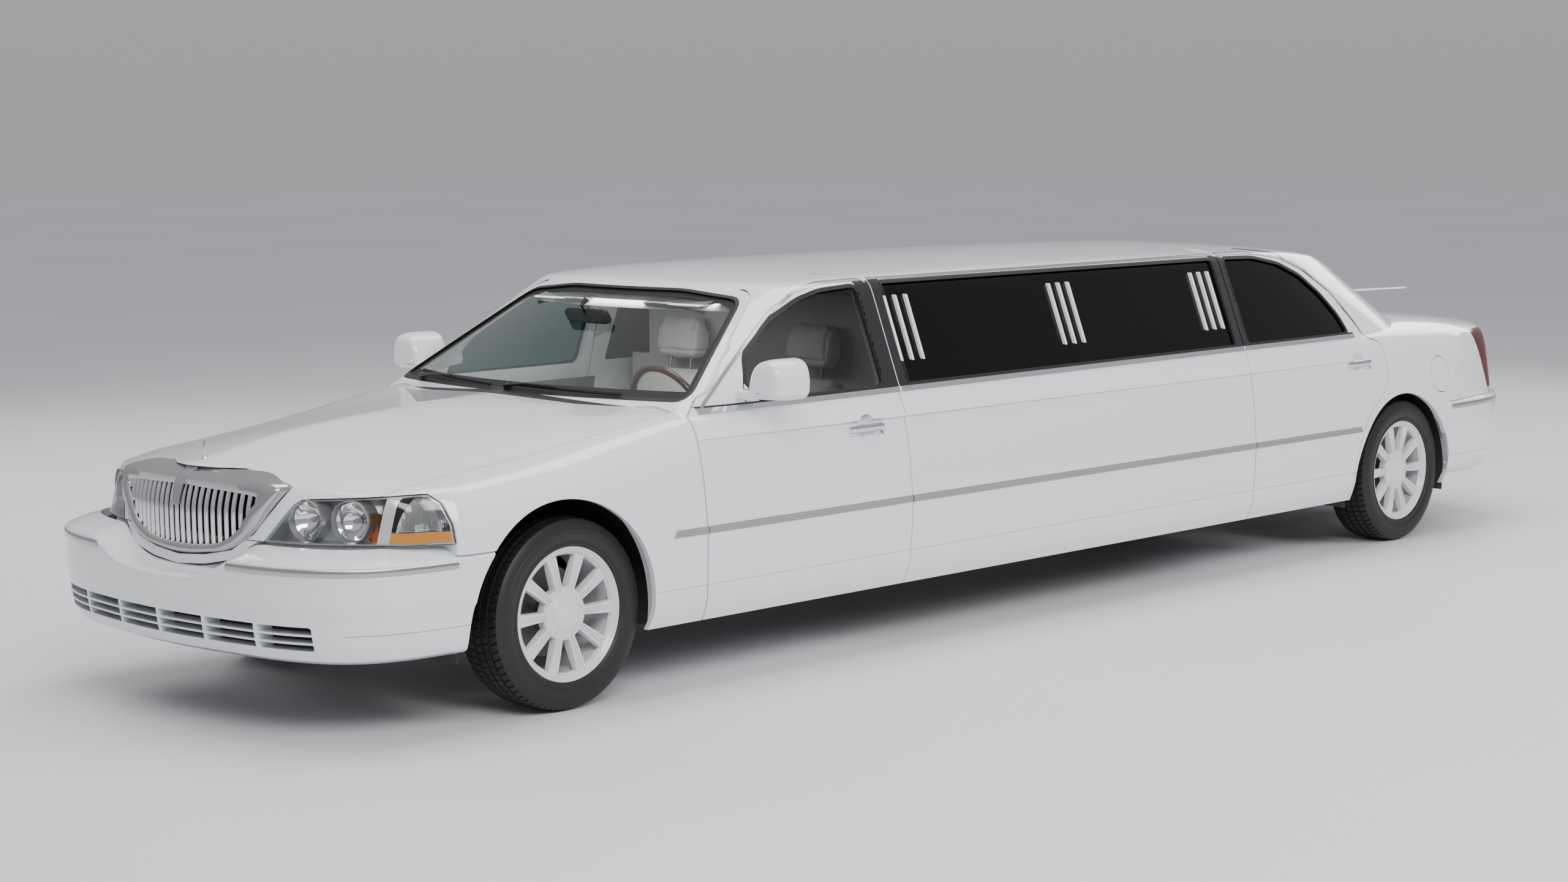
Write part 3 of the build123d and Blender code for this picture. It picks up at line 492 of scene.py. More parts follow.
def rounded(points, radius, steps=4, corners=None):
    # the outline with its corners turned into arcs
    out = []
    count = len(points)
    for i, here in enumerate(points):
        if corners is not None and i not in corners:
            out.append(here)
            continue
        here = Vector(here)
        before, after = Vector(points[i - 1]), Vector(points[(i + 1) % count])
        reach = min(radius, (before - here).length * 0.45, (after - here).length * 0.45)
        start = here + (before - here).normalized() * reach
        end = here + (after - here).normalized() * reach
        for n in range(steps + 1):
            t = n / steps
            out.append(tuple(start * (1 - t) ** 2 + here * 2 * t * (1 - t) + end * t ** 2))
    return out


def prism(points, axis, low, high):
    # a straight block over an outline: (y, z) along X, (x, z) along Y, (x, y) along Z
    place = {"x": lambda p, h: (h, p[0], p[1]), "y": lambda p, h: (p[0], h, p[1]), "z": lambda p, h: (p[0], p[1],
        h)}[axis]
    return toObject(bridged([[place(p, h) for p in points] for h in (low, high)]), "cutter")


def block(x0, x1, y0, y1, z0, z1):
    return prism(rect(x0, x1, y0, y1), "z", z0, z1)


def tableAt(rows, y):
    # a smooth curve through the rows of a table, keyed by the first column
    rows = sorted(rows)
    if y <= rows[0][0]:
        return rows[0][1:]
    if y >= rows[-1][0]:
        return rows[-1][1:]
    i = max(n for n in range(len(rows) - 1) if rows[n][0] <= y)
    low, high = rows[i], rows[i + 1]
    span = high[0] - low[0]
    t = (y - low[0]) / span
    values = []
    for k in range(1, len(low)):
        slope = (high[k] - low[k]) / span
        before = (low[k] - rows[i - 1][k]) / (low[0] - rows[i - 1][0]) if i else slope
        after = (rows[i + 2][k] - high[k]) / (rows[i + 2][0] - high[0]) if i + 2 < len(rows) else slope
        m0 = (before + slope) / 2 if before * slope > 0 else 0.0
        m1 = (slope + after) / 2 if slope * after > 0 else 0.0
        m0, m1 = m0 * span, m1 * span
        values.append((2 * t ** 3 - 3 * t ** 2 + 1) * low[k] + (t ** 3 - 2 * t ** 2 + t) * m0
                      + (3 * t ** 2 - 2 * t ** 3) * high[k] + (t ** 3 - t ** 2) * m1)
    return tuple(values)


makeStage()
addLamp("keyLamp", (7.5, -6.5, 6.5), (0, -1.0, 0.6), (6.0, 3.5), 640)
addLamp("sideLamp", (8.5, 4.5, 5.0), (0, 1.5, 0.7), (6.0, 3.0), 445, False, False)
addLamp("topLamp", (0, 0, 7.5), (0, 0, 0), (4.0, 10.0), 455)
addLamp("farLamp", (-8.0, -2.0, 5.5), (0, 0, 0.6), (8.0, 3.0), 365, False, False)
addLamp("cabinLamp", (0, at("f", 1.22), 1.385), (0, at("f", 1.2), 0.5), (1.0, 0.3), 13, False, False)
addLamp("rearLamp", (-1.0, 10.5, 4.5), (0, 3.0, 0.7), (5.0, 3.0), 182)
print("stage and light ready")


# body forms: the stations of the lower body
lowerBody = {
    # y in the car's frame: crown z, crease x, crease z, edge x, edge z, shoulder x, shoulder z, widest x
    "stations": [(at("f", -1.19), 0.885, 0.46, 0.84, 0.79, 0.79, 0.925, 0.76, 0.966), (at("f", -0.9), 0.93, 0.47,
        0.872, 0.795, 0.826, 0.927, 0.79, 0.97), (at("f", -0.58), 0.992, 0.5, 0.918, 0.8, 0.866, 0.93, 0.826, 0.977),
        (at("f", 0.0), 1.046, 0.55, 0.984, 0.805, 0.938, 0.948, 0.868, 0.988), (at("f", 0.6), 1.066, 0.62, 1.042,
        0.822, 1.03, 0.942, 0.975, 0.991), (at("f", 1.0), 1.046, 0.62, 1.045, 0.83, 1.038, 0.938, 1.008, 0.991),
        (at("r", -0.4), 1.06, 0.55, 1.058, 0.83, 1.052, 0.935, 1.015, 0.991), (at("r", 0.3), 1.102, 0.5, 1.096, 0.72,
        1.08, 0.915, 1.01, 0.99), (at("r", 1.0), 1.062, 0.5, 1.05, 0.7, 1.03, 0.88, 0.965, 0.975), (at("r", 1.38),
        1.03, 0.5, 1.015, 0.69, 0.985, 0.86, 0.92, 0.965)],
    # plan of the nose: x, y at z 0.6, y at z 0.92, from the front axle
    "nose": [(0.0, -1.035, -0.985), (0.43, -1.0, -0.893), (0.62, -0.945, -0.83), (0.8, -0.8, -0.705), (0.895, -0.68,
        -0.61), (0.95, -0.54, -0.48), (1.0, -0.33, -0.27), (1.01, 0.2, 0.2)],
    "noseZ": (0.6, 0.92),
    # plan of the tail: x, y at z 0.6, y at z 1.06, from the rear axle
    "tail": [(0.0, 1.3, 1.215), (0.5, 1.258, 1.175), (0.735, 1.15, 1.075), (0.85, 1.015, 0.94), (0.925, 0.87, 0.79),
        (0.965, 0.64, 0.59), (1.0, 0.33, 0.3), (1.01, -0.3, -0.3)],
    "tailZ": (0.6, 1.06),
    "corner": 0.895,          # x where the nose turns into the side
    # rows behind the nose: distance back, share of the nose's plan shape that is kept
    "behindNose": [(0.0, 1.0), (0.022, 1.0), (0.06, 0.99), (0.12, 0.97), (0.2, 0.92), (0.31, 0.82), (0.46, 0.62),
        (0.66, 0.36), (0.92, 0.12)],
    "middle": [("f", 0.55), ("f", 0.62), ("f", 1.0), ("f", 1.5), ("f", 2.2), ("r", -2.4), ("r", -1.6), ("r", -0.9),
        ("r", -0.4), ("r", -0.1)],
    "beforeTail": [(0.92, 0.12), (0.66, 0.36), (0.46, 0.62), (0.31, 0.82), (0.2, 0.92), (0.12, 0.97), (0.06, 0.99),
        (0.022, 1.0), (0.0, 1.0)],
    "topCuts": [0.0, 0.14, 0.32, 0.52, 0.66, 0.8, 0.91, 1.0],
    "sideCuts": [0.0, 0.12, 0.22, 0.34, 0.46, 0.58, 0.72, 0.86, 1.0],
    "bulge": 0.01,
    "creaseIn": 0.014,
    "rockerIn": 0.062,
}


def planY(rows, levels, x, z, inset):
    # y of an end of the body at a place, from the axle
    low, high = tableAt([(r[0], r[1], r[2]) for r in rows], abs(x) + inset)
    return low + (high - low) * (z - levels[0]) / (levels[1] - levels[0])


def planX(rows, levels, y, z, inset, forward):
    # half width of an end at a place
    low, high = 0.5, 1.0
    for step in range(24):
        middle = (low + high) / 2
        inside = (y - planY(rows, levels, middle, z, 0.0)) * (1 if forward else -1) > 0
        low, high = (middle, high) if inside else (low, middle)
    return (low + high) / 2 - inset


def lowerSection(y, inset, sink):
    # the half section at a station: points over the top, then down the side
    body = lowerBody
    crown, creaseX, creaseZ, edgeX, edgeZ, shoulderX, shoulderZ, wideX = tableAt(body["stations"], y)
    wide = wideX - inset
    edge = Vector((edgeX - inset * 0.4, edgeZ - sink))
    shoulder = Vector((shoulderX - inset, shoulderZ - sink))
    crease = Vector((creaseX - inset * 0.2, creaseZ - sink))
    middle = (edge + shoulder) / 2 + Vector((0.014, 0.012))
    rise = crown - sink - crease.y
    top = [Vector((0, crown - sink)), Vector((crease.x * 0.27, crease.y + rise * 0.78)), Vector((crease.x * 0.64,
        crease.y + rise * 0.42)), crease, (crease + edge) / 2 + Vector((0, 0.004)), edge, middle, shoulder]
    low = car["rockerZ"] + sink * 0.5
    belt = Vector((wide, car["mouldingZ"]))
    bow = Vector(((shoulder.x + wide) / 2 + body["bulge"], (shoulder.y + belt.y) / 2))
    lower = Vector(((shoulder.x + wide * 3) / 4 + body["bulge"] * 0.6, shoulder.y * 0.25 + belt.y * 0.75))
    crest = Vector((wide - body["creaseIn"], car["creaseZ"]))
    side = [Vector((wide + body["creaseIn"] - body["rockerIn"], low)), crest - Vector((0.01, 0.042)), crest,
        crest + Vector((0.006, 0.085)), crest + Vector((0.012, 0.175)), belt, lower, bow, shoulder]
    return top, side


def lowerPlace(a, b, c, inset, sink):
    # the place of a cage point: a across, b along by row, c up the side
    body = lowerBody
    front, middle, rear = body["behindNose"], body["middle"], body["beforeTail"]
    topCuts, sideCuts = body["topCuts"], body["sideCuts"]
    row = round(b)
    corner = body["corner"] - inset * 0.6
    if row < len(front):
        end = ("f", body["nose"], body["noseZ"], 1, front[row])
    elif row >= len(front) + len(middle):
        end = ("r", body["tail"], body["tailZ"], -1, rear[row - len(front) - len(middle)])
    else:
        end = None
    across = topCuts.index(min(topCuts, key=lambda t: abs(t - abs(a))))
    upward = sideCuts.index(min(sideCuts, key=lambda t: abs(t - c)))
    x, y, z = 0.0, 0.0, 0.92
    for step in range(4):
        if end:
            anchor, plan, levels, way, (back, share) = end
            sideY = at(anchor, planY(plan, levels, corner, z, 0.0) + way * back + way * inset)
            limit = planX(plan, levels, sideY - car["axles"][anchor] - way * inset, z, inset, way > 0)
            own = at(anchor, planY(plan, levels, min(x, corner), z, 0.0) + way * back + way * inset)
            y = sideY + (own - sideY) * share
        else:
            y = at(*middle[row - len(front)])
            limit = 9.0
        top, side = lowerSection(y, inset, sink)
        squeeze = min(1.0, limit / (max(p.x for p in side)))
        x = top[across].x * side[upward].x / top[-1].x * squeeze
        z = side[upward].y + (top[across].y - top[-1].y) * c
    return Vector((math.copysign(x, a) if a else 0.0, y, z))


def cageBox(cutsX, cutsY, cutsZ, place, creases=()):
    # a cube sliced at the given cuts, each corner then moved to its place
    bm = bmesh.new()
    bmesh.ops.create_cube(bm, size=1.0)
    lows = (min(cutsX), min(cutsY), min(cutsZ))
    spans = (max(cutsX) - lows[0], max(cutsY) - lows[1], max(cutsZ) - lows[2])
    for vert in bm.verts:
        vert.co = Vector([lows[k] + (vert.co[k] + 0.5) * spans[k] for k in range(3)])
    for axis, cuts in enumerate((cutsX, cutsY, cutsZ)):
        normal = [0, 0, 0]
        normal[axis] = 1
        for cut in sorted(cuts)[1:-1]:
            spot = [0, 0, 0]
            spot[axis] = cut
            bmesh.ops.bisect_plane(bm, geom=bm.verts[:] + bm.edges[:] + bm.faces[:], dist=1e-6, plane_co=spot,
                plane_no=normal)
    layer = bm.edges.layers.float.new("crease_edge")
    for edge in bm.edges:
        for test, value in creases:
            if all(test(*v.co) for v in edge.verts):
                edge[layer] = value
    for vert in bm.verts:
        vert.co = place(*vert.co)
    bmesh.ops.recalc_face_normals(bm, faces=bm.faces)
    return bm


def lowerForm(inset=0.0, sink=0.0, levels=2):
    body = lowerBody
    across = sorted({round(s * t, 4) for t in body["topCuts"] for s in (1, -1)})
    rows = list(range(len(body["behindNose"]) + len(body["middle"]) + len(body["beforeTail"])))
    crease = body["sideCuts"][2]
    creases = [(lambda a, b, c: abs(c - crease) < 0.01 and abs(a) > 0.99, 0.75), (lambda a, b, c: abs(a) < 0.01
        and c > 0.99 and b < 11, 0.5), (lambda a, b, c: abs(abs(a) - body["topCuts"][3]) < 0.01 and c > 0.99
        and b < 11, 0.45), (lambda a, b, c: c < 0.01, 1.0)]
    bm = cageBox(across, rows, body["sideCuts"], lambda a, b, c: lowerPlace(a, b, c, inset, sink), creases)
    return smoothOut(toObject(bm, "lowerForm"), levels)


# the cabin: corner posts of the greenhouse at belt height and at rail height
greenhouse = {
    "rows": [("f", 0.876, 0.59, 0.615, 1.275), ("f", 0.915, 0.745, 0.74, 1.33), ("f", 0.924, 1.1, 0.757, 1.52), ("f",
        0.93, 1.5, 0.763, 1.76), ("f", 0.93, 2.2, 0.763, 2.3), ("r", 0.93, -2.2, 0.763, -2.1), ("r", 0.93, -1.4,
        0.763, -1.3), ("r", 0.924, -0.85, 0.752, -1.02), ("r", 0.914, -0.42, 0.735, -0.76), ("r", 0.893, -0.13, 0.702,
        -0.62), ("r", 0.868, 0.06, 0.665, -0.52), ("r", 0.8, 0.215, 0.635, -0.43), ("r", 0.715, 0.335, 0.59, -0.345)],
    "screen": ("f", 0.44, 1.165),      # middle of the windscreen at the two heights
    "backlight": ("r", 0.49, -0.27),
    "roof": [(at("f", 1.0), 1.44), (at("f", 1.165), 1.4635), (at("f", 1.32), 1.49), (at("f", 1.55), 1.509), (at("f",
        2.1), 1.523), (at("r", -2.4), 1.523), (at("r", -1.33), 1.512), (at("r", -0.68), 1.487), (at("r", -0.27),
        1.446), (at("r", -0.1), 1.42)],
    "acrossCuts": [0.0, 0.25, 0.5, 0.72, 0.87, 1.0],
    "upCuts": [0.0, 0.16, 0.42, 0.66, 0.84, 0.945, 1.0],
    "lowZ": 0.93,
    "eaveZ": 1.448,
}


def cabinPlace(a, b, c, inset):
    g = greenhouse
    row = round(b)
    last = len(g["rows"]) - 1
    anchor, x0, y0, x1, y1 = g["rows"][row]
    span = car["railZ"] - car["beltZ"]
    # the eave follows the roof's fall at both ends
    ridgeZ = tableAt(g["roof"], at(anchor, y1))[0]
    eave = min(g["eaveZ"], ridgeZ - 0.05)
    top = eave + (ridgeZ - eave) * 0.42
    heights = [g["lowZ"], 1.02, 1.16, 1.29, eave - 0.055, eave, top - inset]
    z = heights[g["upCuts"].index(min(g["upCuts"], key=lambda t: abs(t - c)))]
    t = (z - car["beltZ"]) / span
    side = Vector((x0 + (x1 - x0) * t, at(anchor, y0 + (y1 - y0) * t)))
    if c > 0.99:
        side.x = side.x - 0.022
    side.x -= inset
    ends = ((0, g["screen"], 1), (last, g["backlight"], -1))
    for end, (endAnchor, ye0, ye1), forward in ends:
        if row == end:
            side.y += inset * 1.5 * forward
    share = abs(a)
    x = side.x * share
    y = side.y
    for end, (endAnchor, ye0, ye1), forward in ends:
        middleY = at(endAnchor, ye0 + (ye1 - ye0) * t) + inset * 1.5 * forward
        reach = max(0.0, 1.0 - abs(row - end) / 3.0)
        cornerAnchor, _, corner0, _, corner1 = g["rows"][end]
        cornerY = at(cornerAnchor, corner0 + (corner1 - corner0) * t) + inset * 1.5 * forward
        y += (middleY - cornerY) * (1 - share ** 2) * reach
    if c > 0.99:
        ridge = tableAt(g["roof"], y)[0] - inset
        cap = min(ridge, tableAt(g["roof"], side.y)[0] - inset + 0.02)
        z = z + (ridge - z) * (1 - share ** 2.2) if cap else z
    return Vector((math.copysign(x, a) if a else 0.0, y, z))


def cabinForm(inset=0.0, levels=2):
    g = greenhouse
    across = sorted({round(s * t, 4) for t in g["acrossCuts"] for s in (1, -1)})
    last = len(g["rows"]) - 1
    creases = [(lambda a, b, c: c < 0.01, 1.0), (lambda a, b, c: abs(a) > 0.99 and (b < 0.01 or b > last - 0.01)
        and c < 0.95, 0.35)]
    bm = cageBox(across, list(range(last + 1)), g["upCuts"], lambda a, b, c: cabinPlace(a, b, c, inset), creases)
    return smoothOut(toObject(bm, "cabinForm"), levels)


lowerOuter = lowerForm()
lowerInner = lowerForm(car["wall"], 0.035)
lidInner = lowerForm(car["lidWall"], car["lidWall"])
cabinOuter = cabinForm()
cabinInner = cabinForm(car["pillarWall"])
print("body forms ready", len(lowerOuter.data.polygons), len(cabinOuter.data.polygons))


# outlines of the panels: side views of (y, z), front views of (x, z), plans of (x, y)
outlines = {
    "frontDoor": ("f", [(0.628, 0.24), (0.606, 1.004), (0.7, 1.075), (0.96, 1.24), (1.195, 1.39), (1.34, 1.46), (1.48,
        1.49), (1.768, 1.494), (1.771, 1.02), (1.774, 0.24)]),
    "frontGlass": ("f", [(0.9, 1.046), (0.985, 1.212), (1.16, 1.332), (1.345, 1.41), (1.47, 1.438), (1.685, 1.45),
        (1.685, 1.046)]),
    "rearDoor": ("r", [(-1.349, 0.24), (-1.349, 1.496), (-1.06, 1.492), (-0.83, 1.462), (-0.62, 1.39), (-0.44, 1.275),
        (-0.33, 1.13), (-0.275, 1.03), (-0.178, 1.005), (-0.165, 0.85), (-0.215, 0.77), (-0.4, 0.64), (-0.49, 0.45),
        (-0.5, 0.24)]),
    "rearGlass": ("r", [(-1.31, 1.056), (-1.31, 1.455), (-1.06, 1.45), (-0.85, 1.412), (-0.69, 1.35), (-0.56, 1.255),
        (-0.47, 1.15), (-0.43, 1.056)]),
    "sideGlass": [(at("f", 1.83), 1.048), (at("f", 1.83), 1.455), (at("r", -1.4), 1.455), (at("r", -1.4), 1.056)],
    "screen": [(0.842, 1.064), (0.612, 1.412), (0.32, 1.44), (-0.32, 1.44), (-0.612, 1.412), (-0.842, 1.064)],
    "backlight": [(0.668, 1.112), (0.565, 1.4), (-0.565, 1.4), (-0.668, 1.112)],
    "hood": [(0.0, at("f", 0.405)), (0.43, at("f", 0.462)), (0.74, at("f", 0.585)), (0.822, at("f", 0.585)), (0.8,
        at("f", 0.0)), (0.778, at("f", -0.45)), (0.758, at("f", -1.4)), (0.0, at("f", -1.4))],
    "lid": [(0.0, at("r", 0.512)), (0.43, at("r", 0.48)), (0.63, at("r", 0.415)), (0.705, at("r", 0.415)), (0.697,
        at("r", 0.9)), (0.685, at("r", 1.7)), (0.0, at("r", 1.7))],
    # right half of the grille's surround, from the bottom middle up to the top middle
    "grille": [(0.0, 0.604), (0.15, 0.616), (0.28, 0.641), (0.37, 0.7), (0.425, 0.78), (0.483, 0.866), (0.34, 0.9),
        (0.17, 0.904), (0.0, 0.905)],
    "lamp": [(0.425, 0.676), (0.521, 0.822), (0.66, 0.83), (0.84, 0.841), (1.02, 0.841), (1.02, 0.676)],
    "lampSide": [(at("f", -1.2), 0.64), (at("f", -0.556), 0.64), (at("f", -0.553), 0.74), (at("f", -0.572), 0.812),
        (at("f", -0.612), 0.85), (at("f", -1.2), 0.85)],
    "fender": [(at("f", -1.4), 0.6723), (at("f", -0.556), 0.6723), (at("f", -0.556), 0.6353), (at("f", -0.4), 0.6353),
        (at("f", -0.4), 0.2), (at("f", 0.621), 0.2), (at("f", 0.599), 1.004), (at("f", 0.599), 1.2), (at("f", -1.4),
        1.2)],
    "tailLamp": [(at("r", 0.825), 1.0), (at("r", 0.9), 0.662), (at("r", 1.7), 0.662), (at("r", 1.7), 1.0)],
    # room for a steered front wheel, inside the wheel opening
    "steered": {"y": 0.006, "z": 0.3515, "radius": 0.424, "outer": 0.903},
    # wheel openings: y of the centre, its height, radius
    "arch": {"f": (at("f", -0.075), 0.345, 0.435), "r": (at("r", -0.05), 0.312, 0.43)},
    "lidLow": 0.705,
    "doorRake": 0.25,
}


def sideOutline(key):
    anchor, points = outlines[key]
    return [(at(anchor, y), z) for y, z in points]


def sideCutter(points, by=0.0, rake=0.0, inner=0.56, outer=1.1, both=False):
    # a cutter through the left side whose rear edge rakes forward with depth
    points = grown(points, by) if by else points
    middle = (min(p[0] for p in points) + max(p[0] for p in points)) / 2
    loops = []
    for x in (inner, outer):
        loops.append([(x, y + (rake * (x - 0.985) if y > middle else 0), z) for y, z in points])
    cutter = toObject(bridged(loops), "cutter")
    return joined([cutter, mirrored(cutter, "cutter")], "cutter") if both else cutter


def mirrored(piece, name):
    twin = copyOf(piece, name)
    bm = bmesh.new()
    bm.from_mesh(twin.data)
    bmesh.ops.scale(bm, vec=(-1, 1, 1), verts=bm.verts)
    bmesh.ops.reverse_faces(bm, faces=bm.faces)
    bm.to_mesh(twin.data)
    bm.free()
    return twin


def joined(pieces, name):
    # several meshes put in one object
    bm = bmesh.new()
    for piece in pieces:
        bm.from_mesh(piece.data)
    material = pieces[0].data.materials[0] if pieces[0].data.materials else None
    out = toObject(bm, name, material)
    drop(*pieces)
    return out


def mirrorOutline(points):
    return points + [(-x, y) for x, y in points[::-1] if x]


def frontCutter(points, by=0.0, low=None, high=None):
    low = at("f", -1.4) if low is None else low
    high = at("f", -0.7) if high is None else high
    return prism(grown(points, by) if by else points, "y", low, high)


def lampCutter(by):
    # the place of both headlamps: a front view outline crossed with a side view one
    left = frontCutter(rounded(outlines["lamp"], 0.04, corners=(1,)), by, high=at("f", -0.4))
    carve(left, prism(grown(outlines["lampSide"], by), "x", 0.3, 1.1), "INTERSECT", spend=True)
    return joined([left, mirrored(left, "cutter")], "cutter")


def disc(radius, place, inner, outer, segments):
    # a cylinder through the left side
    bm = bmesh.new()
    bmesh.ops.create_circle(bm, cap_ends=True, segments=segments, radius=radius)
    turn = Matrix.Translation((inner, *place)) @ Matrix.Rotation(math.radians(90), 4, "Y")
    bmesh.ops.transform(bm, matrix=turn, verts=bm.verts)
    moved = bmesh.ops.extrude_face_region(bm, geom=bm.faces[:])["geom"]
    bmesh.ops.translate(bm, vec=(outer - inner, 0, 0), verts=[g for g in moved if isinstance(g, bmesh.types.BMVert)])
    bmesh.ops.recalc_face_normals(bm, faces=bm.faces)
    return toObject(bm, "cutter")


def archCutter(anchor, inner):
    # the opening for a wheel and the wider well behind its lip
    y, z, opening = outlines["arch"][anchor]
    mouth, well = (disc(radius, (y, z), inner, outer, 128) for radius, outer in ((opening, 1.2), (opening + 0.03,
        car["halfWidth"])))
    carve(well, lipForm, "INTERSECT")
    whole = carve(mouth, well, "UNION", spend=True)
    if anchor == "f":
        room = outlines["steered"]
        ring = circle(room["radius"], 96, (at("f", room["y"]), room["z"]))
        carve(whole, prism(ring, "x", inner - 0.001, room["outer"]), "UNION", True)
    return joined([whole, mirrored(whole, "cutter")], "cutter")


# fuel flap on the car's left side
flap = {"place": (at("r", 0.32), 0.812), "radius": 0.088, "gap": 0.004, "wall": 0.008}


def cutFrom(name, source, keep=None, cuts=(), material=None):
    # a panel: the part of a shell inside one cutter and outside the others
    piece = copyOf(source, name)
    if keep:
        carve(piece, keep, "INTERSECT")
    for cutter in cuts:
        carve(piece, cutter)
    cleanUp(piece)
    piece.data.materials.clear()
    piece.data.materials.append(material or whitePaint)
    shadeSmooth(piece, 32)
    return piece


def cleanUp(piece):
    # slivers left by the cuts are merged away, and loose crumbs go
    bm = bmesh.new()
    bm.from_mesh(piece.data)
    bmesh.ops.remove_doubles(bm, verts=bm.verts, dist=0.00015)
    bmesh.ops.dissolve_degenerate(bm, dist=0.00005, edges=bm.edges)
    islands = []
    left = set(bm.verts)
    while left:
        seed = [left.pop()]
        island = set(seed)
        while seed:
            for edge in seed.pop().link_edges:
                for vert in edge.verts:
                    if vert not in island:
                        island.add(vert)
                        seed.append(vert)
        left -= island
        islands.append(island)
    for island in islands:
        spans = [max(v.co[k] for v in island) - min(v.co[k] for v in island) for k in range(3)]
        if sorted(spans)[1] < 0.012:
            bmesh.ops.delete(bm, geom=list(island), context="VERTS")
    bm.to_mesh(piece.data)
    bm.free()


lipForm = lowerForm(0.022, 0.0)
frontArch = archCutter("f", 0.5)
rearArch = archCutter("r", 0.665)
wall = carve(copyOf(lowerOuter, "wall"), cabinOuter, "UNION")
hollow = carve(copyOf(lowerInner, "hollow"), cabinInner, "UNION")
carve(wall, hollow, spend=True)
lidShell = carve(copyOf(lowerOuter, "lidShell"), lidInner)
print("walls ready", len(wall.data.polygons))

gap = car["gap"]
hoodPlan, lidPlan = (mirrorOutline(outlines[key]) for key in ("hood", "lid"))
hoodZone = prism(hoodPlan, "z", car["bumperTop"] + gap, 1.3)
hoodHole = prism(grown(hoodPlan, gap), "z", car["bumperTop"] - 0.04, 1.3)
lidZone = prism(lidPlan, "z", outlines["lidLow"], 1.3)
lidHole = prism(grown(lidPlan, gap), "z", outlines["lidLow"] - gap, 1.3)
grilleLine = outlines["grille"] + [(-x, z) for x, z in outlines["grille"][-2:0:-1]]
grilleHole = frontCutter(grilleLine, 0.004, high=at("f", -0.885))
lampHole = lampCutter(gap * 0.5)
screenHole = prism(rounded(outlines["screen"], 0.05), "y", at("f", 0.3), at("f", 1.5))
backlightHole = prism(rounded(outlines["backlight"], 0.06), "y", at("r", -0.7), at("r", 0.7))
frontDoorLine = rounded(sideOutline("frontDoor"), 0.05, corners=(6, 7))
rearDoorLine = rounded(sideOutline("rearDoor"), 0.05, corners=(1, 7, 8, 9, 10, 11, 12))
frontWindowLine = rounded(sideOutline("frontGlass"), 0.035)
rearWindowLine = rounded(sideOutline("rearGlass"), 0.035)
sideWindowLine = rounded(outlines["sideGlass"], 0.018)
rake = outlines["doorRake"]
frontDoorZone = sideCutter(frontDoorLine, -gap / 2, rake)
frontDoorHole = sideCutter(frontDoorLine, gap / 2, rake, both=True)
screenLine = rounded(outlines["screen"], 0.05)
carve(frontDoorHole, prism(grown(screenLine, 0.03 - gap), "y", at("f", 0.3), at("f", 1.5)), spend=True)
rearDoorZone = sideCutter(rearDoorLine, -gap / 2, rake)
rearDoorHole = sideCutter(rearDoorLine, gap / 2, rake, both=True)
frontWindow = sideCutter(frontWindowLine)
rearWindow = sideCutter(rearWindowLine)
sideWindow = sideCutter(sideWindowLine, both=True)
headerZone = prism(grown(screenLine, 0.03), "y", at("f", 0.3), at("f", 1.5))
tailLampLeft = sideCutter(outlines["tailLamp"], 0.0, 0.0, 0.717)
tailLampZone = joined([tailLampLeft, mirrored(tailLampLeft, "cutter")], "cutter")
fenderLeft = sideCutter(outlines["fender"])
fenderShelf = block(-0.829, 0.829, at("f", 0.38), at("f", 0.75), 0.9, 1.2)
carve(fenderLeft, fenderShelf)
fenderBoth = joined([copyOf(fenderLeft, "cutter"), mirrored(fenderLeft, "cutter")], "cutter")
noseAhead = block(-1.2, 1.2, at("f", -1.5), at("f", 0.38), 0.1, 1.2)
tailBehind = block(-1.2, 1.2, at("r", 0.38), at("r", 1.7), 0.1, car["rearBumperTop"] + 0.0003)
underside = block(-0.838, 0.838, at("f", -1.5), at("r", 1.7), 0.1, 0.33)

flapHole = disc(flap["radius"] + flap["gap"], flap["place"], 0.88, 1.2, 72)

# the shell: roof, pillars, cowl and both sides in one skin
bodyShell = cutFrom("bodyShell", wall, None, [hoodHole, lidHole, fenderBoth, frontDoorHole, rearDoorHole, sideWindow,
    screenHole, backlightHole, rearArch, tailLampZone, noseAhead, tailBehind, underside, flapHole])
for x in (-0.655, 0.655):
    carve(bodyShell, block(x - 0.062, x + 0.062, at("r", 0.3915), at("r", 0.425), 1.03, 1.14), spend=True)
fit(bodyShell, "body", "white_paint", "roof", "body_side_left", "body_side_right", "cowl")

for side in ("left", "right"):
    if side == "left":
        fender = cutFrom("fenderLeft", wall, fenderLeft, [frontArch, hoodHole, lampHole, grilleHole, screenHole])
        frontDoor = cutFrom("frontDoorLeft", wall, frontDoorZone, [frontWindow, headerZone])
        rearDoor = cutFrom("rearDoorLeft", wall, rearDoorZone, [rearWindow, rearArch])
    else:
        fender = mirrored(fender, "fenderRight")
        frontDoor = mirrored(frontDoor, "frontDoorRight")
        rearDoor = mirrored(rearDoor, "rearDoorRight")
        for piece in (fender, frontDoor, rearDoor):
            shadeSmooth(piece, 32)
    for piece, node, body in ((fender, "fender_", "body"), (frontDoor, "door_front_", None), (rearDoor, "door_rear_",
            None)):
        fit(piece, body or node + side, "white_paint", node + side)

hood = cutFrom("hood.skin", lidShell, hoodZone, [grilleHole, lampHole])
flapShell = carve(copyOf(lowerOuter, "flapShell"), lowerForm(flap["wall"], flap["wall"]), spend=True)
fuelFlap = cutFrom("fuelFlap", flapShell, disc(flap["radius"], flap["place"], 0.85, 1.2, 72))
fit(fuelFlap, "fuel_flap", "white_paint", "fuel_flap")
fit(hood, "hood", "white_paint", "hood")
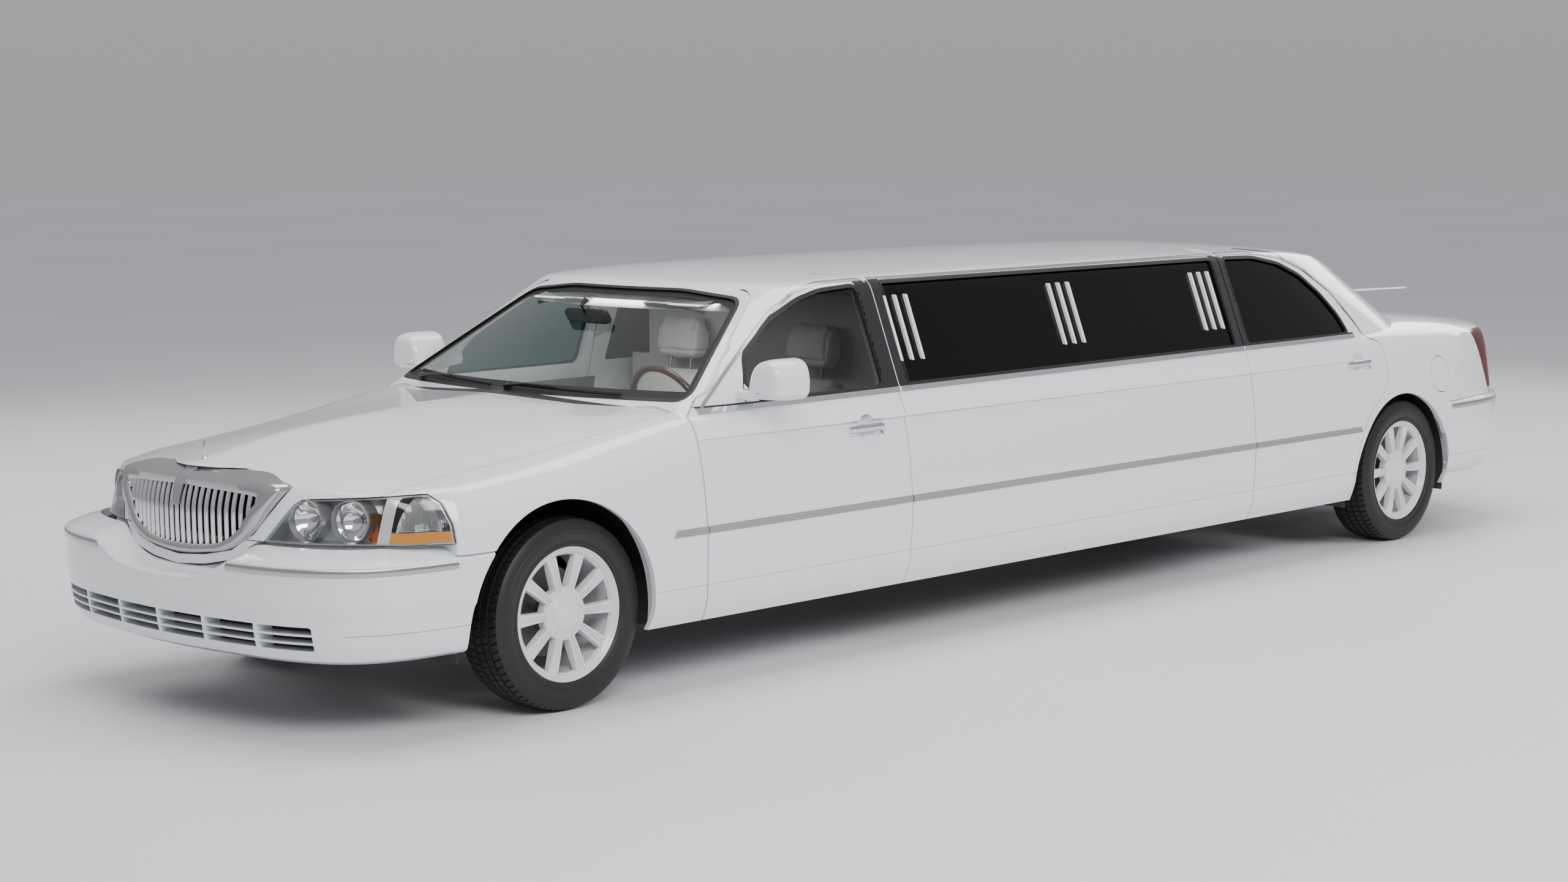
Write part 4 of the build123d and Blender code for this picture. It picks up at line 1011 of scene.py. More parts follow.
# the lid thins to a lip at its hinged edge
lidRelief = carve(lowerForm(0.01, 0.01), block(-0.9, 0.9, at("r", 0.3), at("r", 0.56), 0.8, 1.3), "INTERSECT", True)
trunkLid = cutFrom("trunkLid.skin", lidShell, lidZone, [lidRelief])
drop(lidRelief)
fit(trunkLid, "trunk_lid", "white_paint", "trunk_lid")
print("panels ready", len(bodyShell.data.polygons))

# glass
paneOuter = cabinForm(car["glassInset"])
paneInner = cabinForm(car["glassInset"] + car["glass"])
pane = carve(paneOuter, paneInner, spend=True)
privacyGlass = glassMaterial("privacyGlass", (0.01, 0.011, 0.012), film=0.05, bend=1.3)
windscreen = cutFrom("windscreen.glass", pane, screenHole, material=clearGlass)
rearWindowPane = cutFrom("rearWindow.glass", pane, backlightHole, material=privacyGlass)
sidePanes = cutFrom("sideGlass.panes", pane, sideWindow, material=privacyGlass)
frontPane = cutFrom("frontDoorGlass.left", pane, frontWindow, material=paleGlass)
rearPane = cutFrom("rearDoorGlass.left", pane, rearWindow, material=privacyGlass)
rightPane = mirrored(frontPane, "frontDoorGlass.right")
rightPane.data.materials[0] = greenGlass
panes = [(windscreen, "windscreen", "body", "tinted_glass"), (rearWindowPane, "rear_window", "body", "privacy_glass"),
    (sidePanes, "side_glass", "body", "privacy_glass"), (frontPane, "door_glass_front_left", "door_front_left",
    "tinted_glass"), (rearPane, "door_glass_rear_left", "door_rear_left", "privacy_glass"), (rightPane,
    "door_glass_front_right", "door_front_right", "tinted_glass"), (mirrored(rearPane, "rearDoorGlass.right"),
    "door_glass_rear_right", "door_rear_right", "privacy_glass")]
for piece, node, body, finish in panes:
    shadeSmooth(piece, 30)
    fit(piece, body, finish, node)
print("glass ready")


# helpers for strips that follow the body's plan
def curveRows(points, startMirrored=False, endMirrored=False):
    # a table keyed by the length along a run of points
    rows = [(0.0, *points[0])]
    for before, here in zip(points, points[1:]):
        rows.append((rows[-1][0] + math.dist(before, here), *here))
    first, last = rows[1], rows[-2]
    length = rows[-1][0]
    if startMirrored:
        rows.insert(0, (-first[0], -first[1], *first[2:]))
    if endMirrored:
        rows.append((2 * length - last[0], -last[1], *last[2:]))
    return rows, length


def planPath(rows, anchor, step=0.035):
    # places and inward directions from the right end of a bumper to its left end
    table, length = curveRows([(x, at(anchor, y)) for x, y in rows], True)
    sign = 1 if anchor == "f" else -1
    count = round(length / step)
    half = []
    for i in range(count + 1):
        here, ahead, behind = (Vector(tableAt(table, length * i / count + d)) for d in (0.0, 0.004, -0.004))
        along = (ahead - behind).normalized()
        half.append((here, Vector((-along.y, along.x)) * sign))
    return [(Vector((-p.x, p.y)), Vector((-n.x, n.y))) for p, n in half[:0:-1]] + half


def swept(path, profileAt, name, material=None, smooth=35.0):
    # a closed profile of (inward, z) carried along a path
    loops = [[(p.x + n.x * d, p.y + n.y * d, z) for d, z in profileAt(p)] for p, n in path]
    return toObject(bridged(loops), name, material, smooth)


def spun(profile, place, direction, name, material, steps=48, closed=False, smooth=30.0):
    # a profile of (radius, height) turned about an axis
    bm = spin([(r, 0.0, h) for r, h in profile], (0, 0, 1), steps, closed)
    turn = Vector(direction).to_track_quat("Z", "Y").to_matrix().to_4x4()
    bmesh.ops.transform(bm, matrix=Matrix.Translation(place) @ turn, verts=bm.verts)
    bmesh.ops.recalc_face_normals(bm, faces=bm.faces)
    return toObject(bm, name, material, smooth)


def bothSides(piece, name):
    return joined([piece, mirrored(piece, "cutter")], name)


# front bumper
frontBumper = {
    "plan": [(0.0, -1.14), (0.4, -1.11), (0.64, -1.062), (0.8, -0.985), (0.89, -0.89), (0.945, -0.76), (0.972, -0.56),
        (0.981, -0.48), (0.987, -0.38), (0.988, -0.3)],
    # x: z of the upper edge, z of the ledge's back, depth of the ledge
    "ledge": [(0.0, 0.542, 0.566, 0.105), (0.155, 0.549, 0.573, 0.106), (0.22, 0.553, 0.583, 0.108), (0.314, 0.58,
        0.612, 0.112), (0.37, 0.605, 0.645, 0.118), (0.41, 0.622, 0.664, 0.124), (0.5, 0.625, 0.668, 0.128), (1.0,
        0.625, 0.668, 0.13)],
    # inward, z: down the face, under the chin and up the back
    "face": [(0.0, 0.505), (0.0, 0.466), (0.005, 0.456), (0.008, 0.44), (0.012, 0.4), (0.018, 0.36), (0.026, 0.325),
        (0.038, 0.3), (0.06, 0.287), (0.1, 0.282), (0.11, 0.3), (0.078, 0.36), (0.072, 0.5)],
    "slots": {"ends": 0.733, "lines": [(0.335, 0.357), (0.364, 0.386), (0.393, 0.418)], "ribs": [0.0, 0.255, 0.51],
        "rib": 0.016, "depth": (-1.2, -0.9)},
    "seam": (0.815, 0.3885, 0.3912),
    "strip": {"from": 0.392, "to": -0.556, "low": 0.592, "high": 0.617, "proud": 0.005},
}


def bumperProfile(p):
    edge, top, depth = tableAt(frontBumper["ledge"], abs(p.x))
    ledge = [(depth, top), (depth * 0.55, top - 0.35 * (top - edge)), (0.02, edge + 0.009), (0.006, edge + 0.003),
        (0.0012, edge - 0.003), (0.0, edge - 0.012)]
    return ledge + frontBumper["face"] + [(0.078, edge - 0.045), (depth, top - 0.03)]


def slotCutter():
    slots = frontBumper["slots"]
    ends = [-slots["ends"]] + [s * x for s in (-1, 1) for x in slots["ribs"] if s * x < 0 or s > 0] + [slots["ends"]]
    ends.sort()
    half = slots["rib"] / 2
    holes = []
    for line, (low, high) in enumerate(slots["lines"]):
        for n, (x0, x1) in enumerate(zip(ends, ends[1:])):
            x0, x1 = x0 + (half if n else 0), x1 - (half if n < len(ends) - 2 else 0)
            soft = [k for k, x in enumerate((x0, x1, x1, x0)) if abs(abs(x) - slots["ends"]) < 0.001 and (line == 0
                and k < 2 or line == 2 and k > 1)]
            holes.append(prism(rounded(rect(x0, x1, low, high), 0.018, corners=soft), "y", *(at("f", y)
                for y in slots["depth"])))
    return joined(holes, "cutter")


bumperPath = planPath(frontBumper["plan"], "f")
bumperCover = swept(bumperPath, bumperProfile, "frontBumper.cover", whitePaint, 28)
seamX, seamLow, seamHigh = frontBumper["seam"]
seamPath = [(p, n) for p, n in bumperPath if p.x > seamX]
seamCut = bothSides(swept(seamPath, lambda p: [(-0.01, seamLow), (-0.01, seamHigh), (0.018, seamHigh), (0.018,
    seamLow)], "cutter"), "cutter")
earCut = bothSides(block(0.5, 1.1, at("f", -0.558), at("f", -0.2), 0.6325, 0.8), "cutter")
for cutter in (frontArch, lampHole, grilleHole, slotCutter(), seamCut, earCut):
    carve(bumperCover, cutter)
cleanUp(bumperCover)
shadeSmooth(bumperCover, 28)
fit(bumperCover, "body", "white_paint", "front_bumper")

strip = frontBumper["strip"]
low, high, proud = strip["low"], strip["high"], strip["proud"]
stripPath = [(p, n) for p, n in planPath(frontBumper["plan"], "f", 0.012) if p.x > strip["from"] and p.y < at("f",
    strip["to"])]
bumperStrip = bothSides(swept(stripPath, lambda p: [(0.01, low), (-0.001, low), (-proud + 0.0015, low + 0.002),
    (-proud, low + 0.006), (-proud, high - 0.006), (-proud + 0.0015, high - 0.002), (-0.001, high), (0.01, high)],
    "bumperStrip", satinTrim), "frontBumper.strip")
fit(bumperStrip, "body", "satin_trim")
# dark bar behind the slots
slotBack = swept([q for q in bumperPath if abs(q[0].x) < 0.8], lambda p: [(0.08, 0.318), (0.08, 0.44), (0.088, 0.44),
    (0.088, 0.318)], "frontBumper.slotBack", gapBlack)
fit(slotBack, "body", "black_plastic")

# the lip of the nose under the grille, and a near-black block inside the nose that fills the hollow under it as
# painted shade
lipZone = frontCutter(grilleLine, 0.036, high=at("f", -0.95))
carve(lipZone, block(-0.42, 0.42, at("f", -1.5), at("f", -0.5), 0.5, car["bumperTop"] + 0.004), "INTERSECT")
noseLip = cutFrom("frontBumper.lip", lidShell, lipZone, [grilleHole])
fit(noseLip, "body", "white_paint")
# near-black block 45 mm under the skin: painted shade in the hollow between the lip and the bumper
noseCore = carve(lowerForm(0.045, 0.045), block(-0.93, 0.93, at("f", -1.3), at("f", -0.62), 0.44, 0.668), "INTERSECT",
    True)
fit(named(noseCore, "noseCore", gapBlack), "body", "black_plastic")
print("front bumper ready")


# grille: a broad surround round upright bars
grille = {
    "lower": [(0.0, 0.604), (0.15, 0.616), (0.28, 0.641), (0.37, 0.7), (0.425, 0.78), (0.483, 0.866)],
    "upper": [(0.483, 0.866), (0.34, 0.9), (0.17, 0.904), (0.0, 0.905)],
    "innerLower": [(0.0, 0.64), (0.12, 0.645), (0.225, 0.662), (0.305, 0.705), (0.352, 0.765), (0.398, 0.828)],
    "innerUpper": [(0.398, 0.828), (0.28, 0.836), (0.14, 0.842), (0.0, 0.846)],
    # y of the face on the centre line by z
    "face": [(0.601, -1.031), (0.636, -1.036), (0.763, -1.039), (0.796, -1.035), (0.848, -1.02), (0.878, -1.007),
        (0.901, -0.96)],
    "bow": 0.34,
    # share of the way in from the outer edge, depth behind the face
    "section": [(0.0, 0.05), (0.0, 0.012), (0.06, 0.003), (0.2, -0.003), (0.55, -0.004), (0.86, 0.001), (0.96, 0.005),
        (1.0, 0.011), (1.0, 0.048)],
    "bars": 24,
    "pitch": 0.0332,
    "bar": [(-0.008, 0.03), (-0.0088, 0.014), (-0.0076, 0.0065), (-0.0042, 0.002), (0.0, 0.0004), (0.0042, 0.002),
        (0.0076, 0.0065), (0.0088, 0.014), (0.008, 0.03)],
}


def grilleFace(x, z):
    return at("f", tableAt(grille["face"], z)[0] + grille["bow"] * x * x)


def grilleHalf(lower, upper, steps=26):
    # the half outline with a soft outer corner
    rows, length = curveRows(lower, True)
    points = [Vector(tableAt(rows, length * 0.95 * i / steps)) for i in range(steps + 1)]
    rows, length = curveRows(upper, False, True)
    start, corner, end = points[-1], Vector(lower[-1]), Vector(tableAt(rows, length * 0.1))
    points += [start * (1 - t) ** 2 + corner * 2 * t * (1 - t) + end * t ** 2 for t in (0.2, 0.4, 0.6, 0.8)]
    points += [Vector(tableAt(rows, length * (0.1 + 0.9 * i / 12))) for i in range(13)]
    return points


def grilleRing():
    outer = grilleHalf(grille["lower"], grille["upper"])
    inner = grilleHalf(grille["innerLower"], grille["innerUpper"])
    loops = []
    for share, depth in grille["section"]:
        half = [a.lerp(b, share) for a, b in zip(outer, inner)]
        whole = half + [Vector((-p.x, p.y)) for p in half[-2:0:-1]]
        loops.append([(p.x, grilleFace(p.x, p.y) + depth, p.y) for p in whole])
    return toObject(bridged(loops + loops[:1], caps=False), "grille.surround", satinTrim, 40)


def spanAt(lower, upper, x):
    # lowest and highest z of the opening at a place across
    ends = []
    for run in (lower, upper):
        rows = sorted((p[0], p[1]) for p in run)
        ends.append(tableAt(rows, min(abs(x), rows[-1][0]))[0])
    return ends


def grilleBars():
    bm = bmesh.new()
    for n in range(grille["bars"]):
        x = (n + 0.5 - grille["bars"] / 2) * grille["pitch"]
        low, high = spanAt(grille["innerLower"], grille["innerUpper"], x)
        low, high = low - 0.006, high + 0.006
        if high - low < 0.02:
            continue
        loops = []
        for i in range(9):
            z = low + (high - low) * i / 8
            loops.append([(x + dx, grilleFace(x, z) + 0.008 + dy, z) for dx, dy in grille["bar"]])
        pour(bm, bridged(loops))
    return toObject(bm, "grille.bars", brightChrome, 40)


def grilleCrest():
    # a plain ridge over the middle of the upper lip, running down as a short plinth
    loops = []
    for z, wide, proud in ((0.776, 0.013, 0.004), (0.779, 0.019, 0.01), (0.8, 0.02, 0.013), (0.84, 0.022, 0.015),
            (0.862, 0.024, 0.015), (0.884, 0.028, 0.013), (0.9, 0.032, 0.008), (0.9045, 0.033, 0.002)):
        y = grilleFace(0, min(z, 0.8985))
        loops.append([(-wide, y + 0.02, z), (-wide, y - 0.001, z), (-wide * 0.55, y - proud * 0.75, z), (0, y - proud,
            z), (wide * 0.55, y - proud * 0.75, z), (wide, y - 0.001, z), (wide, y + 0.02, z)])
    return toObject(bridged(loops), "grille.crest", satinTrim, 30)


grilleBack = prism(grown(grilleLine, -0.012), "y", 0, 1)
bm = bmesh.new()
bm.from_mesh(grilleBack.data)
for vert in bm.verts:
    vert.co.y = grilleFace(vert.co.x, vert.co.z) + 0.046 + 0.004 * vert.co.y
bm.to_mesh(grilleBack.data)
bm.free()
named(grilleBack, "grille.back", gapBlack)
fit(grilleRing(), "body", "satin_trim", "grille")
fit(grilleBars(), "body", "satin_trim", "grille")
fit(grilleCrest(), "body", "satin_trim", "grille")
fit(grilleBack, "body", "black_plastic", "grille")

# slim plain upright on the hood's nose
upright = {"place": (0, at("f", -0.912), 0.922), "profile": [(0.0, 0.0), (0.011, 0.0), (0.011, 0.006), (0.006, 0.01),
    (0.0032, 0.014), (0.0032, 0.02), (0.0045, 0.024), (0.0052, 0.05), (0.0042, 0.074), (0.0, 0.078)]}
hoodUpright = spun(upright["profile"], upright["place"], (0, 0.04, 1), "hood.upright", brightChrome, 20)
fit(hoodUpright, "hood", "satin_trim")
print("grille ready")


# headlamps
headlamp = {
    "bowls": [((0.545, at("f", -0.868), 0.752), 11.0), ((0.69, at("f", -0.792), 0.752), 20.0)],
    "rim": 0.066,
    "bowl": [(0.066, 0.0), (0.063, -0.003), (0.055, -0.016), (0.044, -0.03), (0.03, -0.041), (0.014, -0.048), (0.0,
        -0.05)],
    "sleeve": [(0.066, -0.004), (0.0695, 0.004), (0.072, 0.022), (0.0745, 0.022), (0.0745, -0.052), (0.066, -0.052)],
    "bulb": [(0.0, -0.05), (0.01, -0.046), (0.01, -0.024), (0.0075, -0.016), (0.0, -0.013)],
    "divider": 0.77,
    "turnLow": 0.72,
}
amberGlass = glassMaterial("amberGlass", (0.95, 0.36, 0.02), 0.12)
amberLens = wornMaterial("amberLens", (0.86, 0.33, 0.018), 0.14, dust=0.0, mottle=0.1, scale=220.0, bump=0.2,
    Coat_Weight=1.0)
turnReflector = wornMaterial("turnReflector", (0.84, 0.83, 0.81), 0.2, dust=0.0, mottle=0.1, scale=130.0, bump=0.6,
    bumpSize=0.002, Metallic=0.35)
bowlChrome = wornMaterial("bowlChrome", (0.86, 0.86, 0.86), 0.05, dust=0.0, mottle=0.02, scale=70.0, bump=0.02,
    Metallic=1.0)
bezelGrey = wornMaterial("bezelGrey", (0.42, 0.42, 0.42), 0.28, dust=0.0, mottle=0.03, scale=150.0, Metallic=0.55)


def leftOnly(cutter):
    # the left half of a mirrored cutter
    return carve(copyOf(cutter, "cutter"), block(0.01, 1.2, -5, 5, 0, 2), "INTERSECT", True)


def lampLayer(name, outer, inner, zone, material):
    # what lies between two depths under the skin, inside a zone
    return cutFrom(name, lampForms[outer], zone, [lampForms[inner]], material)


lampForms = {0: lowerOuter}
for inset in (2, 5, 9, 30, 80, 90):
    lampForms[inset] = lowerForm(inset / 1000, 0.0)
lampZone = leftOnly(lampCutter(-0.001))
lampInside = leftOnly(lampCutter(-0.006))
lampCore = carve(copyOf(lampForms[0], "cutter"), lampForms[80])
carve(lampCore, lampInside, "INTERSECT")
lens = lampLayer("headlamp.lens", 0, 5, lampZone, lampLens)
tray = lampLayer("headlamp.tray", 9, 90, lampZone, bezelGrey)
carve(tray, lampCore)
lampParts = [(lens, "lamp_lens"), (tray, "lamp_lens")]
for (x, y, z), turn in headlamp["bowls"]:
    aim = Vector((math.sin(math.radians(turn)), -math.cos(math.radians(turn)), 0.0))
    hole = spun([(0.0, -0.07), (headlamp["rim"] + 0.004, -0.07), (headlamp["rim"] + 0.004, 0.02), (0.0, 0.02)], (x, y,
        z), aim, "cutter", None, 48)
    carve(tray, hole)
    lampParts.append((spun(headlamp["bowl"], (x, y, z), aim, "headlamp.bowl%d" % turn, bowlChrome), "lamp_lens"))
    lampParts.append((spun(headlamp["sleeve"], (x, y, z), aim, "headlamp.sleeve%d" % turn, bezelGrey, closed=True),
        "lamp_lens"))
    lampParts.append((spun(headlamp["bulb"], (x, y, z), aim, "headlamp.bulb%d" % turn, bezelGrey, 20), "lamp_lens"))
turnBlock = block(0.822, 1.0, at("f", -1.2), at("f", -0.3), headlamp["turnLow"], 0.9)
turnZone = carve(copyOf(lampInside, "cutter"), turnBlock, "INTERSECT", True)
stripBlock = block(0.822, 1.0, at("f", -1.2), at("f", -0.3), 0.5, headlamp["turnLow"] - 0.003)
stripZone = carve(copyOf(lampInside, "cutter"), stripBlock, "INTERSECT", True)
wallBlock = block(headlamp["divider"] + 0.022, 0.822, at("f", -1.2), at("f", -0.3), 0.5, 0.9)
wallZone = carve(copyOf(lampInside, "cutter"), wallBlock, "INTERSECT", True)
lampParts.append((lampLayer("headlamp.turnLens", 9, 30, turnZone, lampLens), "lamp_lens"))
lampParts.append((lampLayer("headlamp.turnBack", 30, 80, turnZone, turnReflector), "lamp_lens"))
lampParts.append((lampLayer("headlamp.amber", 9, 30, stripZone, amberLens), "lamp_lens"))
lampParts.append((lampLayer("headlamp.wall", 9, 80, wallZone, turnReflector), "lamp_lens"))
sideAmber = spun([(0.0, -0.012), (0.05, -0.012), (0.05, 0.0), (0.04, 0.01), (0.0, 0.014)], (0.765, at("f", -0.76),
    0.735), (0.45, -0.9, 0), "headlamp.sideAmber", amberGlass, 40)
carve(sideAmber, block(0.752, 0.788, at("f", -1.2), at("f", -0.3), 0.6, 0.9), "INTERSECT", True)
lampParts.append((sideAmber, "lamp_lens"))
for piece, finish in lampParts:
    twin = mirrored(piece, piece.name.replace("headlamp.", "headlamp.r"))
    for each in (piece, twin):
        shadeSmooth(each, 32)
        fit(each, "body", finish, "headlamps")
drop(lampCore, *[form for inset, form in lampForms.items() if inset])
print("headlamps ready")


# wheels: ten grooved spokes round a plain cap
wheelShape = {
    "hubX": {"front": 0.785, "rear": 0.813},        # where a wheel's own x = 0 lies
    "barrel": [(-0.078, 0.245), (0.118, 0.245), (0.1185, 0.24), (0.114, 0.2345), (0.106, 0.231), (0.07, 0.222), (0.03,
        0.219), (-0.074, 0.219), (-0.078, 0.235)],
    "lipRing": [(0.112, 0.2335), (0.114, 0.23), (0.104, 0.218), (0.092, 0.214), (0.086, 0.22), (0.1, 0.231)],
    "spokes": 10,
    # radius: x of the face, half width, depth
    "spoke": [(0.066, 0.098, 0.0135, 0.04), (0.09, 0.101, 0.015, 0.04), (0.12, 0.103, 0.017, 0.038), (0.16, 0.105,
        0.0195, 0.034), (0.2, 0.106, 0.022, 0.028), (0.222, 0.105, 0.0245, 0.024), (0.236, 0.1035, 0.026, 0.02)],
    # across a spoke: share of the half width, drop from the face, with the two grooves
    "across": [(-1.0, 1.0), (-1.0, 0.16), (-0.9, 0.04), (-0.62, 0.0), (-0.44, 0.0), (-0.34, 0.13), (-0.2, 0.13),
        (-0.12, 0.0), (0.12, 0.0), (0.2, 0.13), (0.34, 0.13), (0.44, 0.0), (0.62, 0.0), (0.9, 0.04), (1.0, 0.16),
        (1.0, 1.0)],
    "hub": [(0.0, 0.104), (0.058, 0.1045), (0.0635, 0.1035), (0.066, 0.1005), (0.068, 0.0995), (0.0845, 0.099),
        (0.094, 0.096), (0.099, 0.09), (0.101, 0.07), (0.098, 0.056), (0.06, 0.05), (0.0245, 0.05), (0.0245, 0.0995),
        (0.0, 0.0995)],
    "cap": [(0.0, 0.1092), (0.03, 0.109), (0.046, 0.1082), (0.0545, 0.1066), (0.0575, 0.1045), (0.0585, 0.1005), (0.0,
        0.1005)],
    "lugs": {"count": 5, "circle": 0.0745, "shape": [(0.0, 0.1035), (0.005, 0.1035), (0.0068, 0.1022), (0.0072,
        0.096), (0.0, 0.096)]},
}
tyreShape = {
    "middle": {"front": 0.805, "rear": 0.833},
    "radius": 0.3515,
    # x from the middle, radius: rim seat, rim guard, sidewall with its rings, shoulder, ribs
    "side": [(0.086, 0.2455), (0.1005, 0.2465), (0.106, 0.252), (0.1068, 0.259), (0.1052, 0.2655), (0.1062, 0.267),
        (0.109, 0.274), (0.1112, 0.286), (0.1118, 0.298), (0.1108, 0.305), (0.1114, 0.3062), (0.1114, 0.3085), (0.11,
        0.3098), (0.1075, 0.32), (0.103, 0.331), (0.099, 0.3385)],
    "tread": [(0.095, 0.3435, 1), (0.083, 0.3478, 1), (0.064, 0.35, 1), (0.062, 0.343, 0), (0.054, 0.343, 0), (0.052,
        0.3506, 2), (0.026, 0.3513, 2), (0.024, 0.3438, 0), (0.016, 0.3438, 0), (0.014, 0.35138, 2), (0.0, 0.35138,
        2)],
    "sectors": 72,
    "grooveTurn": 0.3,       # share of a sector that each cross groove takes
}


def turned(profile, name, material, steps=96, closed=True, smooth=30.0):
    # a profile of (x, radius) spun about the X axis
    bm = spin([(x, 0.0, r) for x, r in profile], (1, 0, 0), steps, closed)
    bmesh.ops.recalc_face_normals(bm, faces=bm.faces)
    return toObject(bm, name, material, smooth)


def spokeRow():
    rows = []
    w = wheelShape
    for radius, face, half, deep in w["spoke"]:
        rows.append([(face - deep * drop if drop else face, share * half, radius) for share, drop in w["across"]])
    spoke = toObject(bridged(rows), "spoke", alloyPaint, 32)
    arms = []
    for n in range(w["spokes"]):
        arm = copyOf(spoke, "spoke")
        arm.data.transform(Matrix.Rotation(math.tau * (n + 0.5) / w["spokes"], 4, "X"))
        arms.append(arm)
    drop(spoke)
    return joined(arms, "spokes")


def placed(piece, x, y, z, right=False):
    # a pattern set down at its place, turned about for the right side
    piece.data.transform(Matrix.Translation((x, y, z)))
    if right:
        twin = mirrored(piece, piece.name)
        drop(piece)
        return twin
    return piece


def treadBand():
    # one sector of the tread: ribs, and blocks cut by sloping grooves, then spun copies
    t = tyreShape
    half = [(x, r, kind) for x, r, kind in t["tread"]]
    across = half + [(-x, r, kind) for x, r, kind in half[-2::-1]]
    bm = bmesh.new()
    step = math.tau / t["sectors"]
    rows = []
    for k in range(5):
        turn = (0.0, t["grooveTurn"] * 0.35, t["grooveTurn"] * 0.65, t["grooveTurn"], 1.0)[k]
        inGroove = k in (1, 2)
        line = []
        for x, r, kind in across:
            lean = (abs(x) / 0.095) ** 1.3 * 0.9 if kind != 2 else 0.35 + abs(x) * 8
            depth = 0.0055 if kind == 1 else 0.004
            radius = r - (depth if inGroove and kind else 0.0)
            angle = step * (turn + lean)
            line.append(bm.verts.new((x, radius * math.sin(angle), radius * math.cos(angle))))
        rows.append([bm.edges.new(pair) for pair in zip(line, line[1:])])
    for first, second in zip(rows, rows[1:]):
        bmesh.ops.bridge_loops(bm, edges=first + second)
    source = bm.verts[:] + bm.edges[:] + bm.faces[:]
    for n in range(1, t["sectors"]):
        fresh = bmesh.ops.duplicate(bm, geom=source)["geom"]
        bmesh.ops.rotate(bm, cent=(0, 0, 0), matrix=Matrix.Rotation(-step * n, 3, "X"), verts=[g for g in fresh
            if isinstance(g, bmesh.types.BMVert)])
    bmesh.ops.remove_doubles(bm, verts=bm.verts, dist=0.00005)
    return bm


def makeTyre():
    t = tyreShape
    bm = treadBand()
    edgeX, edgeR = t["tread"][0][:2]
    for side in (1, -1):
        profile = [(side * x, r) for x, r in t["side"]] + [(side * edgeX, edgeR)]
        pour(bm, spin([(x, 0.0, r) for x, r in profile], (1, 0, 0), 96, False))
    seatX, seatR = t["side"][0]
    pour(bm, spin([(-seatX, 0.0, seatR), (seatX, 0.0, seatR)], (1, 0, 0), 96, False, 0))
    bmesh.ops.remove_doubles(bm, verts=bm.verts, dist=0.0003)
    bmesh.ops.recalc_face_normals(bm, faces=bm.faces)
    return toObject(bm, "tyre", tyreRubber, 30)


def makeWheel():
    w = wheelShape
    parts = [turned(w["barrel"], "barrel", alloyPaint, 96), turned(w["lipRing"], "lipRing", alloyPaint, 96),
        turned([(x, r) for r, x in w["hub"]], "hub", alloyPaint, 60, closed=False), turned([(x, r) for r,
        x in w["cap"]], "cap", alloyPaint, 60, closed=False), spokeRow()]
    lugs = w["lugs"]
    for n in range(lugs["count"]):
        lug = turned([(x, r) for r, x in lugs["shape"]], "lug", alloyPaint, 20, closed=False)
        angle = math.tau * (n + 0.0) / lugs["count"]
        lug.data.transform(Matrix.Translation((0, lugs["circle"] * math.sin(angle), lugs["circle"] * math.cos(angle))))
        parts.append(lug)
    wheel = joined(parts, "wheel")
    shadeSmooth(wheel, 32)
    return wheel


def makeBrake():
    # vented disc with its hat, and the hub behind the spokes
    return turned([(-0.028, 0.08), (-0.028, 0.165), (-0.02, 0.165), (-0.02, 0.15), (-0.012, 0.15), (-0.012, 0.165),
        (-0.003, 0.165), (-0.003, 0.082), (0.012, 0.078), (0.012, 0.03), (-0.028, 0.03)], "disc", castSteel, 72)


wheelPattern, tyrePattern, brakePattern = makeWheel(), makeTyre(), makeBrake()
print("wheel patterns", len(wheelPattern.data.polygons), len(tyrePattern.data.polygons))
for axle, anchor in (("front", "f"), ("rear", "r")):
    for side in ("left", "right"):
        spot = (car["axles"][anchor], car["wheelZ"])
        body = "wheel_%s_%s" % (axle, side)
        name = "%s%s" % (axle, side.capitalize())
        right = side == "right"
        wheel = placed(copyOf(wheelPattern, name + "Wheel"), wheelShape["hubX"][axle], *spot, right)
        brake = placed(copyOf(brakePattern, name + "Disc"), wheelShape["hubX"][axle], *spot, right)
        tyre = placed(copyOf(tyrePattern, name + "Tyre"), tyreShape["middle"][axle], *spot, right)
        for piece in (wheel, brake, tyre):
            shadeSmooth(piece, 32)
        fit(wheel, body, "white_alloy", body)
        fit(brake, body, "dark_steel")
        fit(tyre, body, "tyre_rubber", body.replace("wheel", "tyre"))
drop(wheelPattern, tyrePattern, brakePattern)
print("wheels and tyres ready")


# trim that lies on the skin: each is what stays between two forms inside a zone
def layer(name, outer, inner, zone, material, spend=True):
    piece = cutFrom(name, outer, zone, [inner], material)
    if spend:
        drop(zone)
    return piece


def sideZone(points, anchor=None):
    if anchor:
        points = [(at(anchor, y), z) for y, z in points]
    return prism(points, "x", 0.45, 1.2)


def ringZone(points, outer, inner, axis="x", low=0.45, high=1.2):
    ring = prism(grown(points, outer) if outer else points, axis, low, high)
    return carve(ring, prism(grown(points, inner) if inner else points, axis, low - 0.01, high + 0.01), spend=True)


def onePer(piece, name, bodies, slot, *nodes):
    # the left piece and its mirror image, each on its own body
    twin = mirrored(piece, name + ".right")
    piece.name = name + ".left"
    for each, side in ((piece, "left"), (twin, "right")):
        shadeSmooth(each, 32)
        body = bodies if bodies == "body" else bodies + "_" + side
        fit(each, body, slot, *[node if node.startswith("!") else node + "_" + side for node in nodes])
    return piece, twin


